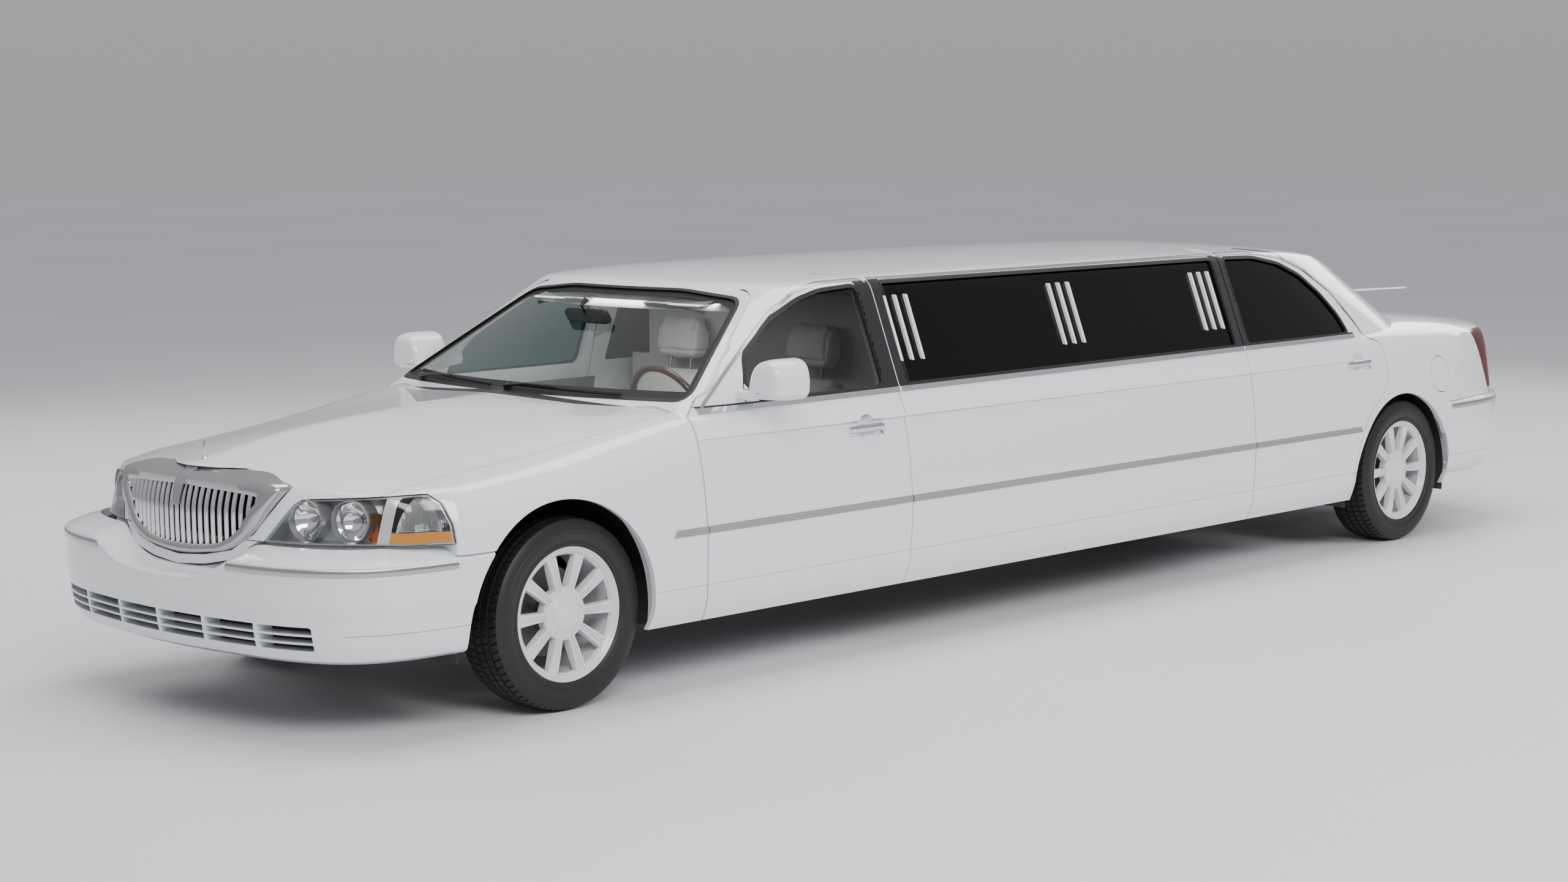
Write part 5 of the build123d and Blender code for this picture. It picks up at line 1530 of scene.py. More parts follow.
proudSkin = {depth: cabinForm(-depth / 1000) for depth in (5.0, 3.5, 2.0, 1.2)}
sunkSkin = {depth: cabinForm(depth / 1000) for depth in (4.0, 10.0, 10.8, 13.0)}
trims = {
    # black panels over the pillars between the windows: name, body, their corners in y and z
    "pillars": [("doorPillar", "door_front", "f", [(1.68, 1.045), (1.768, 1.045), (1.7654, 1.462), (1.68, 1.462)]),
        ("centrePillar", "body", "f", [(1.7736, 1.047), (1.834, 1.047), (1.834, 1.466), (1.771, 1.466)]),
        ("rearPillar", "body", "r", [(-1.404, 1.056), (-1.3518, 1.056), (-1.3518, 1.466), (-1.404, 1.466)]),
        ("rearDoorPillar", "door_rear", "r", [(-1.3462, 1.056), (-1.306, 1.056), (-1.306, 1.462), (-1.3462, 1.462)])],
    # bright strip under the windows: name, body, y, z, y, z
    "belt": [("frontDoorBelt", "door_front", at("f", 0.664), 1.04, at("f", 1.7655), 1.046), ("centreBelt", "body",
        at("f", 1.7765), 1.046, at("r", -1.3545), 1.056), ("rearDoorBelt", "door_rear", at("r", -1.3435), 1.056,
        at("r", -0.395), 1.057)],
    "beltHeight": 0.021,
    "bars": {"y": [at("f", y + d) for y in (1.895, 2.96, 4.0) for d in (-0.066, 0.0, 0.066)], "low": 1.14,
        "high": 1.4, "wide": 0.007},
}
# the black panels reach just past the door edges and 10 mm under the skin, so the walls of the door gaps beside them
# are black too: real black trim on the pillars, painted shade in the gaps
for name, body, anchor, corners in trims["pillars"]:
    panel = layer(name, proudSkin[1.2], sunkSkin[10.0], sideZone(corners, anchor), glossBlack)
    onePer(panel, name, body, "black_plastic")
high = trims["beltHeight"]
for name, body, y0, z0, y1, z1 in trims["belt"]:
    zone = sideZone([(y0, z0 - high), (y1, z1 - high), (y1, z1 - 0.001), (y0, z0 - 0.001)])
    onePer(layer(name, proudSkin[5.0], sunkSkin[4.0], zone, brightChrome), name, body, "satin_trim")
    seal = sideZone([(y0, z0 - 0.001), (y1, z1 - 0.001), (y1, z1 + 0.005), (y0, z0 + 0.005)])
    onePer(layer(name + "Seal", proudSkin[2.0], sunkSkin[13.0], seal, blackRubber), name + "Seal", body,
        "black_plastic")
print("belt trims ready")

# seals round the side windows, and the bright line up the front pillar and over the windows
for name, line, body in (("frontWindow", frontWindowLine, "door_front"), ("sideWindow", sideWindowLine, "body"),
        ("rearWindow", rearWindowLine, "door_rear")):
    seal = layer(name + "Seal", proudSkin[1.2], sunkSkin[13.0], ringZone(line, 0.007, -0.008), blackRubber)
    onePer(seal, name + "Seal", body, "black_plastic")
pillarLine = ringZone(frontDoorLine, -0.02, -0.028)
carve(pillarLine, sideZone([(0.58, 1.026), (1.7655, 1.026), (1.7655, 1.6), (0.58, 1.6)], "f"), "INTERSECT", True)
carve(pillarLine, sideZone([(1.7, 1.0), (1.8, 1.0), (1.8, 1.455), (1.7, 1.455)], "f"), spend=True)
onePer(layer("frontDoorLine", proudSkin[3.5], sunkSkin[4.0], pillarLine, satinTrim), "frontDoorLine", "door_front",
    "satin_trim")
rearLine = ringZone(rearDoorLine, -0.018, -0.027)
carve(rearLine, sideZone([(-1.3435, 1.056), (-0.3, 1.056), (-0.3, 1.6), (-1.3435, 1.6)], "r"), "INTERSECT", True)
carve(rearLine, sideZone([(-1.37, 1.0), (-1.27, 1.0), (-1.27, 1.455), (-1.37, 1.455)], "r"), spend=True)
onePer(layer("rearDoorLine", proudSkin[3.5], sunkSkin[4.0], rearLine, satinTrim), "rearDoorLine", "door_rear",
    "satin_trim")
overLine = sideZone([(at("f", 1.7765), 1.4655), (at("r", -1.3545), 1.4685), (at("r", -1.3545), 1.4765), (at("f",
    1.7765), 1.4735)])
onePer(layer("overWindowLine", proudSkin[3.5], sunkSkin[4.0], overLine, satinTrim), "overWindowLine", "body",
    "satin_trim")

# upright bars on the dark side windows
bars = trims["bars"]
barZones = []
for y in bars["y"]:
    corners = rect(y - bars["wide"], y + bars["wide"], bars["low"], bars["high"])
    barZones.append(sideZone(rounded(corners, 0.008)))
onePer(layer("windowBars", proudSkin[3.5], sunkSkin[10.8], joined(barZones, "cutter"), whitePaint), "windowBars",
    "body", "satin_trim")

# dark borders of the windscreen and the rear window, and their mouldings
for name, line, low, high in (("windscreen", screenLine, at("f", 0.2), at("f", 1.5)), ("rearWindow",
        rounded(outlines["backlight"], 0.06), at("r", -0.7), at("r", 0.7))):
    border = layer(name + ".border", sunkSkin[10.0], sunkSkin[10.8], ringZone(line, 0.001, -0.028, "y", low, high),
        gapBlack)
    fit(border, "body", "black_plastic")
    edge = layer(name + ".edge", proudSkin[1.2], sunkSkin[13.0], ringZone(line, 0.004, -0.005, "y", low, high),
        blackRubber)
    fit(edge, "body", "black_plastic")
print("window trims ready")


# places on the skin, found by a ray
def treeOf(*forms):
    bm = bmesh.new()
    for form in forms:
        bm.from_mesh(form.data)
    tree = BVHTree.FromBMesh(bm)
    bm.free()
    return tree


skinTree = treeOf(lowerOuter, cabinOuter)
screenTree = treeOf(cabinOuter)


def onFront(x, z, tree=None):
    return (tree or skinTree).ray_cast(Vector((x, -6, z)), Vector((0, 1, 0)))[0]


def onSide(y, z):
    return skinTree.ray_cast(Vector((3, y, z)), Vector((-1, 0, 0)))[0]


def onTop(x, y):
    return skinTree.ray_cast(Vector((x, y, 3)), Vector((0, 0, -1)))[0]


# black cowl behind the hood, and the wipers lying on it
cowlPlan = [(0.0, at("f", 0.414)), (0.43, at("f", 0.471)), (0.72, at("f", 0.59)), (0.8, at("f", 0.6)), (0.8, at("f",
    0.69)), (0.0, at("f", 0.69))]
cowlTop = lowerForm(-0.0015, -0.0015)
cowlPanel = layer("cowl.panel", cowlTop, lidInner, prism(mirrorOutline(cowlPlan), "z", 0.9, 1.3), blackPlastic)
carve(cowlPanel, frontDoorHole)
fit(cowlPanel, "body", "black_plastic")
wiper = {
    # pivot x, z; elbow; blade from, to
    "arms": [((-0.64, 1.07), (-0.52, 1.08), (-0.69, 1.092), (-0.13, 1.076)), ((-0.02, 1.072), (0.1, 1.08), (-0.06,
        1.084), (0.56, 1.073))],
    "blade": 0.005,
    "arm": 0.007,
}


def rodThrough(points, radius, name, material, sides=8, flat=1.0):
    # a round or flattened bar along a few places
    points = [Vector(p) for p in points]
    loops = []
    for i, p in enumerate(points):
        along = (points[min(i + 1, len(points) - 1)] - points[max(i - 1, 0)]).normalized()
        across = along.cross(Vector((0, 0, 1)))
        across = across.normalized() if across.length > 0.01 else Vector((1, 0, 0))
        up = across.cross(along)
        size = radius[i] if isinstance(radius, (list, tuple)) else radius
        loops.append([p + (across * math.cos(t) + up * math.sin(t) * flat) * size for t in (math.tau * k / sides
            for k in range(sides))])
    return toObject(bridged(loops), name, material, 35)


for n, (pivot, elbow, bladeFrom, bladeTo) in enumerate(wiper["arms"]):
    def offScreen(spot, away):
        return onFront(spot[0], spot[1], screenTree) + Vector((0, -away, away * 0.6))
    arm = rodThrough([offScreen(pivot, 0.02), offScreen(elbow, 0.028), offScreen(((bladeFrom[0] + bladeTo[0]) / 2,
        (bladeFrom[1] + bladeTo[1]) / 2), 0.022)], [0.012, wiper["arm"], 0.005], "wiperArm%d" % n, blackPlastic, 8,
        0.7)
    count = 12
    spots = [(bladeFrom[0] + (bladeTo[0] - bladeFrom[0]) * i / count,
        bladeFrom[1] + (bladeTo[1] - bladeFrom[1]) * i / count) for i in range(count + 1)]
    blade = rodThrough([offScreen(s, 0.008) for s in spots], wiper["blade"], "wiperBlade%d" % n, blackRubber, 6, 1.4)
    hub = spun([(0.0, 0.018), (0.012, 0.016), (0.016, 0.004), (0.016, -0.012)], offScreen(pivot, 0.006), (0, -0.5, 1),
        "wiperHub%d" % n, blackPlastic, 20)
    for piece in (arm, blade, hub):
        fit(piece, "body", "black_plastic")
print("cowl and wipers ready")


# side mouldings, from panel to panel
moulding = {
    # name, body, first y, last y, slant of the first and the last end
    "runs": [("fenderMoulding", "body", at("f", 0.451), at("f", 0.6145), 0.016, 0.0), ("frontDoorMoulding",
        "door_front", at("f", 0.6225), at("f", 1.7685), 0.0, 0.0), ("sideMoulding", "body", at("f", 1.7765), at("r",
        -1.353), 0.0, 0.0), ("rearDoorMoulding", "door_rear", at("r", -1.345), at("r", -0.452), 0.0, 0.016)],
    "z": 0.598,
    # proud of the skin, height from the middle
    "profile": [(-0.003, -0.0135), (0.0035, -0.0135), (0.0062, -0.0105), (0.0068, -0.004), (0.0058, 0.003), (0.0066,
        0.0095), (0.004, 0.013), (-0.003, 0.0135)],
    "step": 0.12,
}
for name, body, y0, y1, slant0, slant1 in moulding["runs"]:
    count = max(3, round((y1 - y0) / moulding["step"]))
    loops = []
    for i in range(count + 1):
        loop = []
        for proud, up in moulding["profile"]:
            y = y0 + (y1 - y0) * i / count
            y += slant0 * up / 0.027 * (i == 0) + slant1 * -up / 0.027 * (i == count)
            z = moulding["z"] + up
            loop.append((onSide(y, z).x + proud, y, z))
        loops.append(loop)
    onePer(toObject(bridged(loops), name, sideMoulding, 35), name, body, "satin_trim")
print("side mouldings ready")


# rear bumper
rearBumper = {
    "plan": [(0.0, 1.34), (0.5, 1.2965), (0.745, 1.185), (0.865, 1.035), (0.935, 0.89), (0.972, 0.68), (0.985, 0.5),
        (0.99, 0.33)],
    "profile": [(0.115, 0.671), (0.06, 0.671), (0.016, 0.67), (0.004, 0.666), (0.0, 0.658), (0.0, 0.52), (0.0, 0.43),
        (0.004, 0.396), (0.012, 0.36), (0.026, 0.322), (0.05, 0.296), (0.09, 0.288), (0.1, 0.3), (0.07, 0.36), (0.068,
        0.56), (0.1, 0.64)],
    "seam": (0.3925, 0.3953),
    "strip": {"from": 0.386, "low": 0.63, "high": 0.656},
}
rearPath = planPath(rearBumper["plan"], "r")
rearCover = swept(rearPath, lambda p: rearBumper["profile"], "rearBumper.cover", whitePaint, 28)
low, high = rearBumper["seam"]
rearSeam = swept([q for q in rearPath if q[0].x > 0.5], lambda p: [(-0.01, low), (-0.01, high), (0.008, high), (0.008,
    low)], "cutter")
for cutter in (rearArch, bothSides(rearSeam, "cutter")):
    carve(rearCover, cutter)
cleanUp(rearCover)
shadeSmooth(rearCover, 28)
fit(rearCover, "body", "white_paint", "rear_bumper")
low, high = rearBumper["strip"]["low"], rearBumper["strip"]["high"]
rearStrip = swept([q for q in planPath(rearBumper["plan"], "r", 0.012) if q[0].y > at("r",
    rearBumper["strip"]["from"])], lambda p: [(0.01, low), (0.0, low), (-0.0005, low + 0.002), (-0.0005,
    high - 0.002), (0.0, high), (0.01, high)], "rearBumper.strip", satinTrim)
fit(rearStrip, "body", "satin_trim")
print("rear bumper ready")


# tail lamps
redGlass = glassMaterial("redGlass", (0.62, 0.012, 0.016), 0.06, bend=1.35)
redBack = wornMaterial("redBack", (0.42, 0.02, 0.022), 0.18, dust=0.0, mottle=0.06, scale=300.0, bump=0.2,
    Coat_Weight=0.6)
tailForms = {inset: lowerForm(inset / 1000, 0.0) for inset in (5, 12, 45)}
tailInside = leftOnly(tailLampZone)
carve(tailInside, block(0.0, 1.2, at("r", 0.5), at("r", 1.7), 0.7005, 1.0095), "INTERSECT", True)
tailLens = layer("tailLamp.lens", lowerOuter, tailForms[5], tailInside, redGlass, spend=False)
tailBack = layer("tailLamp.back", tailForms[12], tailForms[45], tailInside, redBack)
for n, z in enumerate((0.775, 0.85, 0.925)):
    carve(tailBack, block(0.6, 1.2, at("r", 0.5), at("r", 1.7), z - 0.0025, z + 0.0025), spend=True)
onePer(tailLens, "tailLampLens", "body", "red_lens")
onePer(tailBack, "tailLampBack", "body", "red_lens")
for piece in bpy.data.objects:
    if piece.name.startswith("tailLamp"):
        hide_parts("tail_lamps")
drop(*tailForms.values())

# blank plate on its pad, between the tail lamps
plate = {"z": 0.86, "size": (0.305, 0.152), "thick": 0.0022}


def plateShape():
    half, up = plate["size"][0] / 2, plate["size"][1] / 2
    face = prism(rounded(rect(-half, half, plate["z"] - up, plate["z"] + up), 0.016), "y", 0.0, plate["thick"])
    bm = bmesh.new()
    bm.from_mesh(face.data)
    drop(face)
    outer = [f for f in bm.faces if f.normal.y > 0.9]
    bmesh.ops.inset_region(bm, faces=outer, thickness=0.006, depth=0.0)
    bmesh.ops.inset_region(bm, faces=outer, thickness=0.002, depth=-0.0008)
    return toObject(bm, "trunkLid.plate", palePlastic, 30)


print("tail ready")


# door mirrors
mirror = {
    "outline": [(0.968, 1.092), (0.982, 1.16), (1.012, 1.208), (1.078, 1.222), (1.13, 1.204), (1.149, 1.152), (1.147,
        1.092), (1.128, 1.066), (1.0, 1.062)],
    "middle": (1.06, 1.135),
    # y from the front axle, size of the section
    "sections": [(0.838, 0.55), (0.841, 0.72), (0.848, 0.85), (0.862, 0.935), (0.885, 0.985), (0.915, 1.0), (0.99,
        1.0), (1.006, 0.985), (1.008, 0.955), (1.004, 0.935), (0.984, 0.925)],
    "glassY": 0.9875,
    "arm": [(0.925, 0.868, 1.08), (0.965, 0.866, 1.08), (1.005, 0.868, 1.082), (1.045, 0.876, 1.088)],
    "seams": [(1.0455, 1.0475, 1.05, 1.0905), (0.95, 1.0475, 1.0885, 1.0905)],
}


def mirrorSection(y, size):
    cx, cz = mirror["middle"]
    return [(cx + (x - cx) * size, at("f", y), cz + (z - cz) * size) for x, z in rounded(mirror["outline"], 0.034, 4)]


shell = toObject(bridged([mirrorSection(y, s) for y, s in mirror["sections"]]), "mirrorShell", whitePaint, 40)
for x0, x1, z0, z1 in mirror["seams"]:
    carve(shell, block(x0, x1, at("f", 0.8), at("f", 1.05), z0, z1), spend=True)
onePer(shell, "mirrorShell", "door_front", "white_paint", "door_front")
face = toObject(bridged([mirrorSection(mirror["glassY"], 0.92), mirrorSection(mirror["glassY"] + 0.004, 0.92)]),
    "mirrorFace", brightChrome, 20)
onePer(face, "mirrorFace", "door_front", "satin_trim")
loops = []
for n, (x, y, z) in enumerate(mirror["arm"]):
    half, up = 0.03 - 0.003 * n, 0.021 - 0.002 * n
    loops.append([(x, at("f", y) + a * half, z + b * up) for a, b in rounded(rect(-1, 1, -1, 1), 0.6)])
onePer(toObject(bridged(loops), "mirrorArm", whitePaint, 40), "mirrorArm", "door_front", "white_paint")
sail = [(at("f", y), z) for y, z in ((0.6, 1.03), (0.99, 1.03), (0.925, 1.12), (0.935, 1.235), (0.6, 1.235))]
sailZone = carve(prism(sail, "x", 0.45, 1.2), prism(grown(frontWindowLine, 0.004), "x", 0.44, 1.21), "INTERSECT", True)
onePer(layer("mirrorSail", proudSkin[2.0], sunkSkin[10.8], sailZone, whitePaint), "mirrorSail", "door_front",
    "white_paint")

# door handles
handle = {
    "places": [("front", at("f", 1.531), 0.902), ("rear", at("r", -0.429), 0.915)],
    "length": 0.2,
    # share of the half length, proud of the skin, half thickness, half height
    "sections": [(-1.0, 0.003, 0.003, 0.006), (-0.97, 0.006, 0.006, 0.012), (-0.88, 0.01, 0.0065, 0.0155), (-0.6,
        0.0135, 0.0065, 0.015), (0.0, 0.015, 0.006, 0.014), (0.6, 0.0135, 0.0065, 0.016), (0.88, 0.0105, 0.007,
        0.017), (0.97, 0.006, 0.006, 0.013), (1.0, 0.003, 0.003, 0.0065)],
    "bowl": [(0.0, -0.024), (0.02, -0.022), (0.038, -0.016), (0.048, -0.007), (0.052, 0.003), (0.052, 0.03), (0.0,
        0.03)],
    "plate": (0.112, 0.03),
    "keypad": {"z": 0.9555, "half": (0.05, 0.0105), "buttons": 5},
}
for end, y, z in handle["places"]:
    spot = onSide(y, z)
    half = handle["length"] / 2
    bowl = spun(handle["bowl"], spot, (1, 0, 0.12), "cutter", None, 40)
    plateHalf, plateUp = handle["plate"]
    plateLine = rounded(rect(y - plateHalf, y + plateHalf, z - plateUp, z + plateUp), plateUp - 0.0001, 8)
    groove = ringZone(plateLine, 0.0, -0.0018, "x", spot.x - 0.0035, 1.2)
    for side in ("Left", "Right"):
        for cutter in (groove, bowl):
            twin = bothSides(copyOf(cutter, "cutter"), "cutter")
            carve(bpy.data.objects[end + "Door" + side], twin, spend=True)
    drop(bowl, groove)
    loops = []
    for share, proud, thick, tall in handle["sections"]:
        here = y + share * half
        x = onSide(here, z).x + proud
        loops.append([(a, here, b) for a, b in circle(thick, 16, (x, z), tall)])
    grip = toObject(bridged(loops), end + "Handle", brightChrome, 45)
    onePer(grip, end + "Handle", "door_" + end, "satin_trim", "door_" + end)
    lock = spun([(0.0, 0.0), (0.0, 0.006), (0.0075, 0.006), (0.0095, 0.003), (0.0095, -0.01)], onSide(y + half * 0.86,
        z - 0.026) + Vector((-0.0005, 0, 0)), (1, 0, 0.1), end + "Lock", brightChrome, 20)
    onePer(lock, end + "Lock", "door_" + end, "satin_trim")
proudBody = {depth: lowerForm(-depth / 1000) for depth in (1.5, 3.0)}
pad = handle["keypad"]
(a, b), y = pad["half"], handle["places"][0][1] - 0.018
padLine = rounded(rect(y - a, y + a, pad["z"] - b, pad["z"] + b), 0.006)
onePer(layer("keypadFrame", proudBody[3.0], lowerOuter, ringZone(padLine, 0.0015, -0.0025), brightChrome),
    "keypadFrame", "door_front", "satin_trim")
keys = prism(grown(padLine, -0.0025), "x", 0.45, 1.2)
for n in range(1, pad["buttons"]):
    split = y - a + 2 * a * n / pad["buttons"]
    carve(keys, block(0.4, 1.3, split - 0.0008, split + 0.0008, 0.9, 1.0), spend=True)
onePer(layer("keypadKeys", proudBody[1.5], lowerOuter, keys, palePlastic), "keypadKeys", "door_front", "satin_trim")
drop(*proudBody.values(), *proudSkin.values(), *sunkSkin.values())
print("mirrors and handles ready")

# blank plate on the lid
plateY = at("r", 1.268)
bm = bmesh.new()
face = plateShape()
bm.from_mesh(face.data)
drop(face)
bmesh.ops.translate(bm, vec=(0, plateY, 0), verts=bm.verts)
fit(toObject(bm, "trunkLid.plate", palePlastic, 30), "trunk_lid", "white_paint")
pad = rounded(rect(-0.165, 0.165, 0.775, 0.945), 0.016)
padPiece = named(prism(pad, "y", at("r", 1.19), plateY - 0.0005), "trunkLid.platePad", whitePaint)
shadeSmooth(padPiece, 30)
fit(padPiece, "trunk_lid", "white_paint", "trunk_lid")

# white swept aerial on a short foot behind the rear window
aerial = {"foot": (0.0, at("r", 0.735)), "z": 1.172, "tip": (0.285, at("r", 1.085), 1.186), "thick": 0.0075}
footTop = onTop(*aerial["foot"])
arms = [(-aerial["tip"][0], *aerial["tip"][1:]), (-aerial["tip"][0] * 0.5, aerial["foot"][1] + 0.155, 1.178), (-0.03,
    aerial["foot"][1] + 0.012, aerial["z"]), (0.03, aerial["foot"][1] + 0.012, aerial["z"]), (aerial["tip"][0] * 0.5,
    aerial["foot"][1] + 0.155, 1.178), aerial["tip"]]
fit(rodThrough(arms, [0.006] + [aerial["thick"]] * 4 + [0.006], "aerial.arms", whitePaint, 12, 0.7), "trunk_lid",
    "white_paint")
foot = spun([(0.0, 0.0), (0.03, 0.0), (0.028, 0.006), (0.012, 0.014), (0.008, 0.03), (0.007, aerial["z"] - footTop.z),
    (0.0, aerial["z"] - footTop.z)], footTop - Vector((0, 0, 0.001)), (0, 0, 1), "aerial.foot", whitePaint, 24)
fit(foot, "trunk_lid", "white_paint")


# cushions: a run of sections in the y-z plane, puffed by cloth pressure, then sewn
def cushionForm(name, x, rows, material, end=(0.55, 0.84, 1.0), corner=0.55):
    # rows: y, z, half width, half thickness
    loops = []
    count = len(rows)
    for n, (y, z, wide, thick) in enumerate(rows):
        ahead, behind = rows[min(n + 1, count - 1)], rows[max(n - 1, 0)]
        along = Vector((0, ahead[0] - behind[0], ahead[1] - behind[1])).normalized()
        normal = Vector((1, 0, 0)).cross(along)
        size = end[min(n, count - 1 - n, len(end) - 1)]
        half = (wide - (1 - size) * thick, thick * size)
        square = rect(-half[0], half[0], -half[1], half[1])
        loops.append([Vector((x + a, y, z)) + normal * b for a, b in rounded(square, half[1] * corner)])
    return toObject(bridged(loops), name, material, 60)


def puffed(piece, cap=0.022, voxel=0.006, pressure=4.0):
    remesh = piece.modifiers.new("remesh", "REMESH")
    remesh.mode = "VOXEL"
    remesh.voxel_size = voxel
    applyModifiers(piece)
    rest = [v.co.copy() for v in piece.data.vertices]
    cloth = piece.modifiers.new("cloth", "CLOTH")
    cloth.settings.use_pressure = True
    cloth.settings.uniform_pressure_force = pressure
    cloth.settings.effector_weights.gravity = 0.0
    scene = bpy.context.scene
    for n in range(1, 21):
        scene.frame_set(n)
        bpy.context.view_layer.update()
    grown = piece.evaluated_get(bpy.context.evaluated_depsgraph_get()).to_mesh()
    moved = [v.co.copy() for v in grown.vertices]
    piece.modifiers.remove(cloth)
    scene.frame_set(1)
    for vert, start, stop in zip(piece.data.vertices, rest, moved):
        step = stop - start
        vert.co = start + step * min(1.0, cap / max(step.length, 1e-9))
    return smoothOut(piece, 1, 60)


def sewn(piece, seams, depth=0.006, width=0.007):
    # each seam gives the distance of a place from its line; the skin sinks along it
    bm = bmesh.new()
    bm.from_mesh(piece.data)
    bm.normal_update()
    moves = []
    for vert in bm.verts:
        near = min(abs(seam(vert.co)) for seam in seams)
        moves.append(vert.normal * (-depth * math.exp(-(near / width) ** 2)))
    for vert, move in zip(bm.verts, moves):
        vert.co += move
    bm.to_mesh(piece.data)
    bm.free()
    shadeSmooth(piece, 60)
    return piece


seat = {
    "x": 0.385,
    "y": at("f", 1.245),
    # y from the seat's front, z, half width, half thickness
    "cushion": [(0.012, 0.462, 0.205, 0.052), (0.022, 0.468, 0.222, 0.062), (0.06, 0.474, 0.226, 0.066), (0.2, 0.474,
        0.226, 0.062), (0.38, 0.462, 0.222, 0.058), (0.45, 0.458, 0.216, 0.056), (0.47, 0.456, 0.2, 0.05)],
    "back": [(0.452, 0.545, 0.2, 0.048), (0.456, 0.56, 0.215, 0.058), (0.47, 0.62, 0.224, 0.062), (0.505, 0.78, 0.226,
        0.06), (0.545, 0.96, 0.212, 0.052), (0.562, 1.035, 0.19, 0.046), (0.566, 1.052, 0.17, 0.04)],
    "headrest": [(0.585, 1.085, 0.105, 0.034), (0.587, 1.095, 0.118, 0.042), (0.592, 1.13, 0.126, 0.046), (0.6, 1.2,
        0.124, 0.046), (0.606, 1.25, 0.112, 0.04), (0.608, 1.266, 0.092, 0.03)],
    "shell": [(0.03, 0.405, 0.205, 0.02), (0.04, 0.4, 0.212, 0.026), (0.24, 0.396, 0.215, 0.028), (0.44, 0.396, 0.212,
        0.026), (0.47, 0.398, 0.2, 0.02)],
}


def seatRows(part):
    return [(seat["y"] + y, z, wide, thick) for y, z, wide, thick in seat[part]]


def bandSeam(across, low, high, axis):
    # a line along x = seat +- across between two heights or lengths
    def far(p):
        side = abs(abs(p.x - seat["x"]) - across)
        past = max(low - p[axis], p[axis] - high, 0.0)
        return math.hypot(side, past)
    return far


def crossSeam(value, axis, half):
    def far(p):
        return math.hypot(p[axis] - value, max(abs(p.x - seat["x"]) - half, 0.0))
    return far


front = seat["y"]
seatParts = [("seatCushion", "cushion", 0.016, [bandSeam(0.135, front + 0.1, front + 0.47, 1), crossSeam(front + 0.1,
    1, 0.22), crossSeam(front + 0.29, 1, 0.135)]), ("seatBack", "back", 0.016, [bandSeam(0.128, 0.55, 0.93, 2),
    crossSeam(0.93, 2, 0.215), crossSeam(0.745, 2, 0.128)]), ("headrest", "headrest", 0.014, [bandSeam(0.105, 1.1,
    1.25, 2), crossSeam(1.118, 2, 0.12)]), ]
for name, part, cap, seams in seatParts:
    piece = puffed(cushionForm(name, seat["x"], seatRows(part), greyLeather), cap)
    sewn(piece, seams)
    twin = mirrored(piece, name + ".right")
    shadeSmooth(twin, 60)
    piece.name = name + ".left"
    for each in (piece, twin):
        fit(each, "body", "grey_leather", "front_seats")
shellPiece = cushionForm("seatBase", seat["x"], seatRows("shell"), dashGrey)
posts = [rodThrough([(seat["x"] + dx, front + 0.575, 1.035), (seat["x"] + dx, front + 0.588, 1.11)], 0.0065, "cutter",
    brightChrome, 10) for dx in (-0.062, 0.062)]
onePer(joined(posts, "headrestPosts"), "headrestPosts", "body", "satin_trim")
onePer(shellPiece, "seatBase", "body", "dash_plastic")
rails = [block(seat["x"] + dx - 0.016, seat["x"] + dx + 0.016, front + 0.03, front + 0.5, 0.335, 0.385)
    for dx in (-0.17, 0.17)]
onePer(named(joined(rails, "seatRails"), "seatRails", castSteel), "seatRails", "body", "dark_steel")
print("front seats ready")

# bench across the back and seat along the right side, in lengths
lounge = {
    "bench": {"x": (-0.427, 0.0, 0.427), "half": 0.208},
    "side": {"count": 7, "from": at("f", 2.31), "to": at("r", -0.71)},
}
loungePieces = []
for x in lounge["bench"]["x"]:
    half = lounge["bench"]["half"]
    rows = [(at("r", y), z, half - s, t) for y, z, s, t in ((-0.59, 0.65, 0.012, 0.05), (-0.58, 0.652, 0.0, 0.06),
        (-0.5, 0.656, 0.0, 0.064), (-0.3, 0.654, 0.0, 0.062), (-0.17, 0.65, 0.0, 0.058), (-0.15, 0.648, 0.012, 0.05))]
    loungePieces.append(cushionForm("benchCushion", x, rows, greyLeather))
    rows = [(at("r", y), z, half - s, t) for y, z, s, t in ((-0.135, 0.715, 0.012, 0.048), (-0.128, 0.735, 0.0,
        0.058), (-0.095, 0.86, 0.0, 0.062), (-0.05, 1.03, 0.0, 0.058), (-0.022, 1.14, 0.004, 0.05), (-0.016, 1.16,
        0.016, 0.04))]
    loungePieces.append(cushionForm("benchBack", x, rows, greyLeather))
run = lounge["side"]
pitch = (run["to"] - run["from"]) / run["count"]
for n in range(run["count"]):
    y0, y1 = run["from"] + pitch * n + 0.006, run["from"] + pitch * (n + 1) - 0.006
    marks = [y0, y0 + 0.012, y0 + 0.07, (y0 + y1) / 2, y1 - 0.07, y1 - 0.012, y1]
    loungePieces.append(cushionForm("sideCushion", -0.525, [(y, 0.575, 0.185, 0.058) for y in marks], greyLeather))
    loungePieces.append(cushionForm("sideBack", -0.745, [(y, 0.815, 0.046, 0.165) for y in marks], greyLeather,
        corner=0.25))
for n, piece in enumerate(loungePieces):
    smoothOut(piece, 1, 60)
    piece.name = piece.name.split(".")[0] + ".%02d" % n
    fit(piece, "body", "grey_leather", "lounge_seats")
for name, box in (("benchBase", (-0.63, 0.63, at("r", -0.575), at("r", -0.1), 0.545, 0.587)), ("sideBase", (-0.785,
        -0.345, run["from"] + 0.01, run["to"] - 0.01, 0.305, 0.512))):
    fit(named(block(*box), name, carpet), "body", "grey_leather", "lounge_seats")
print("lounge ready")

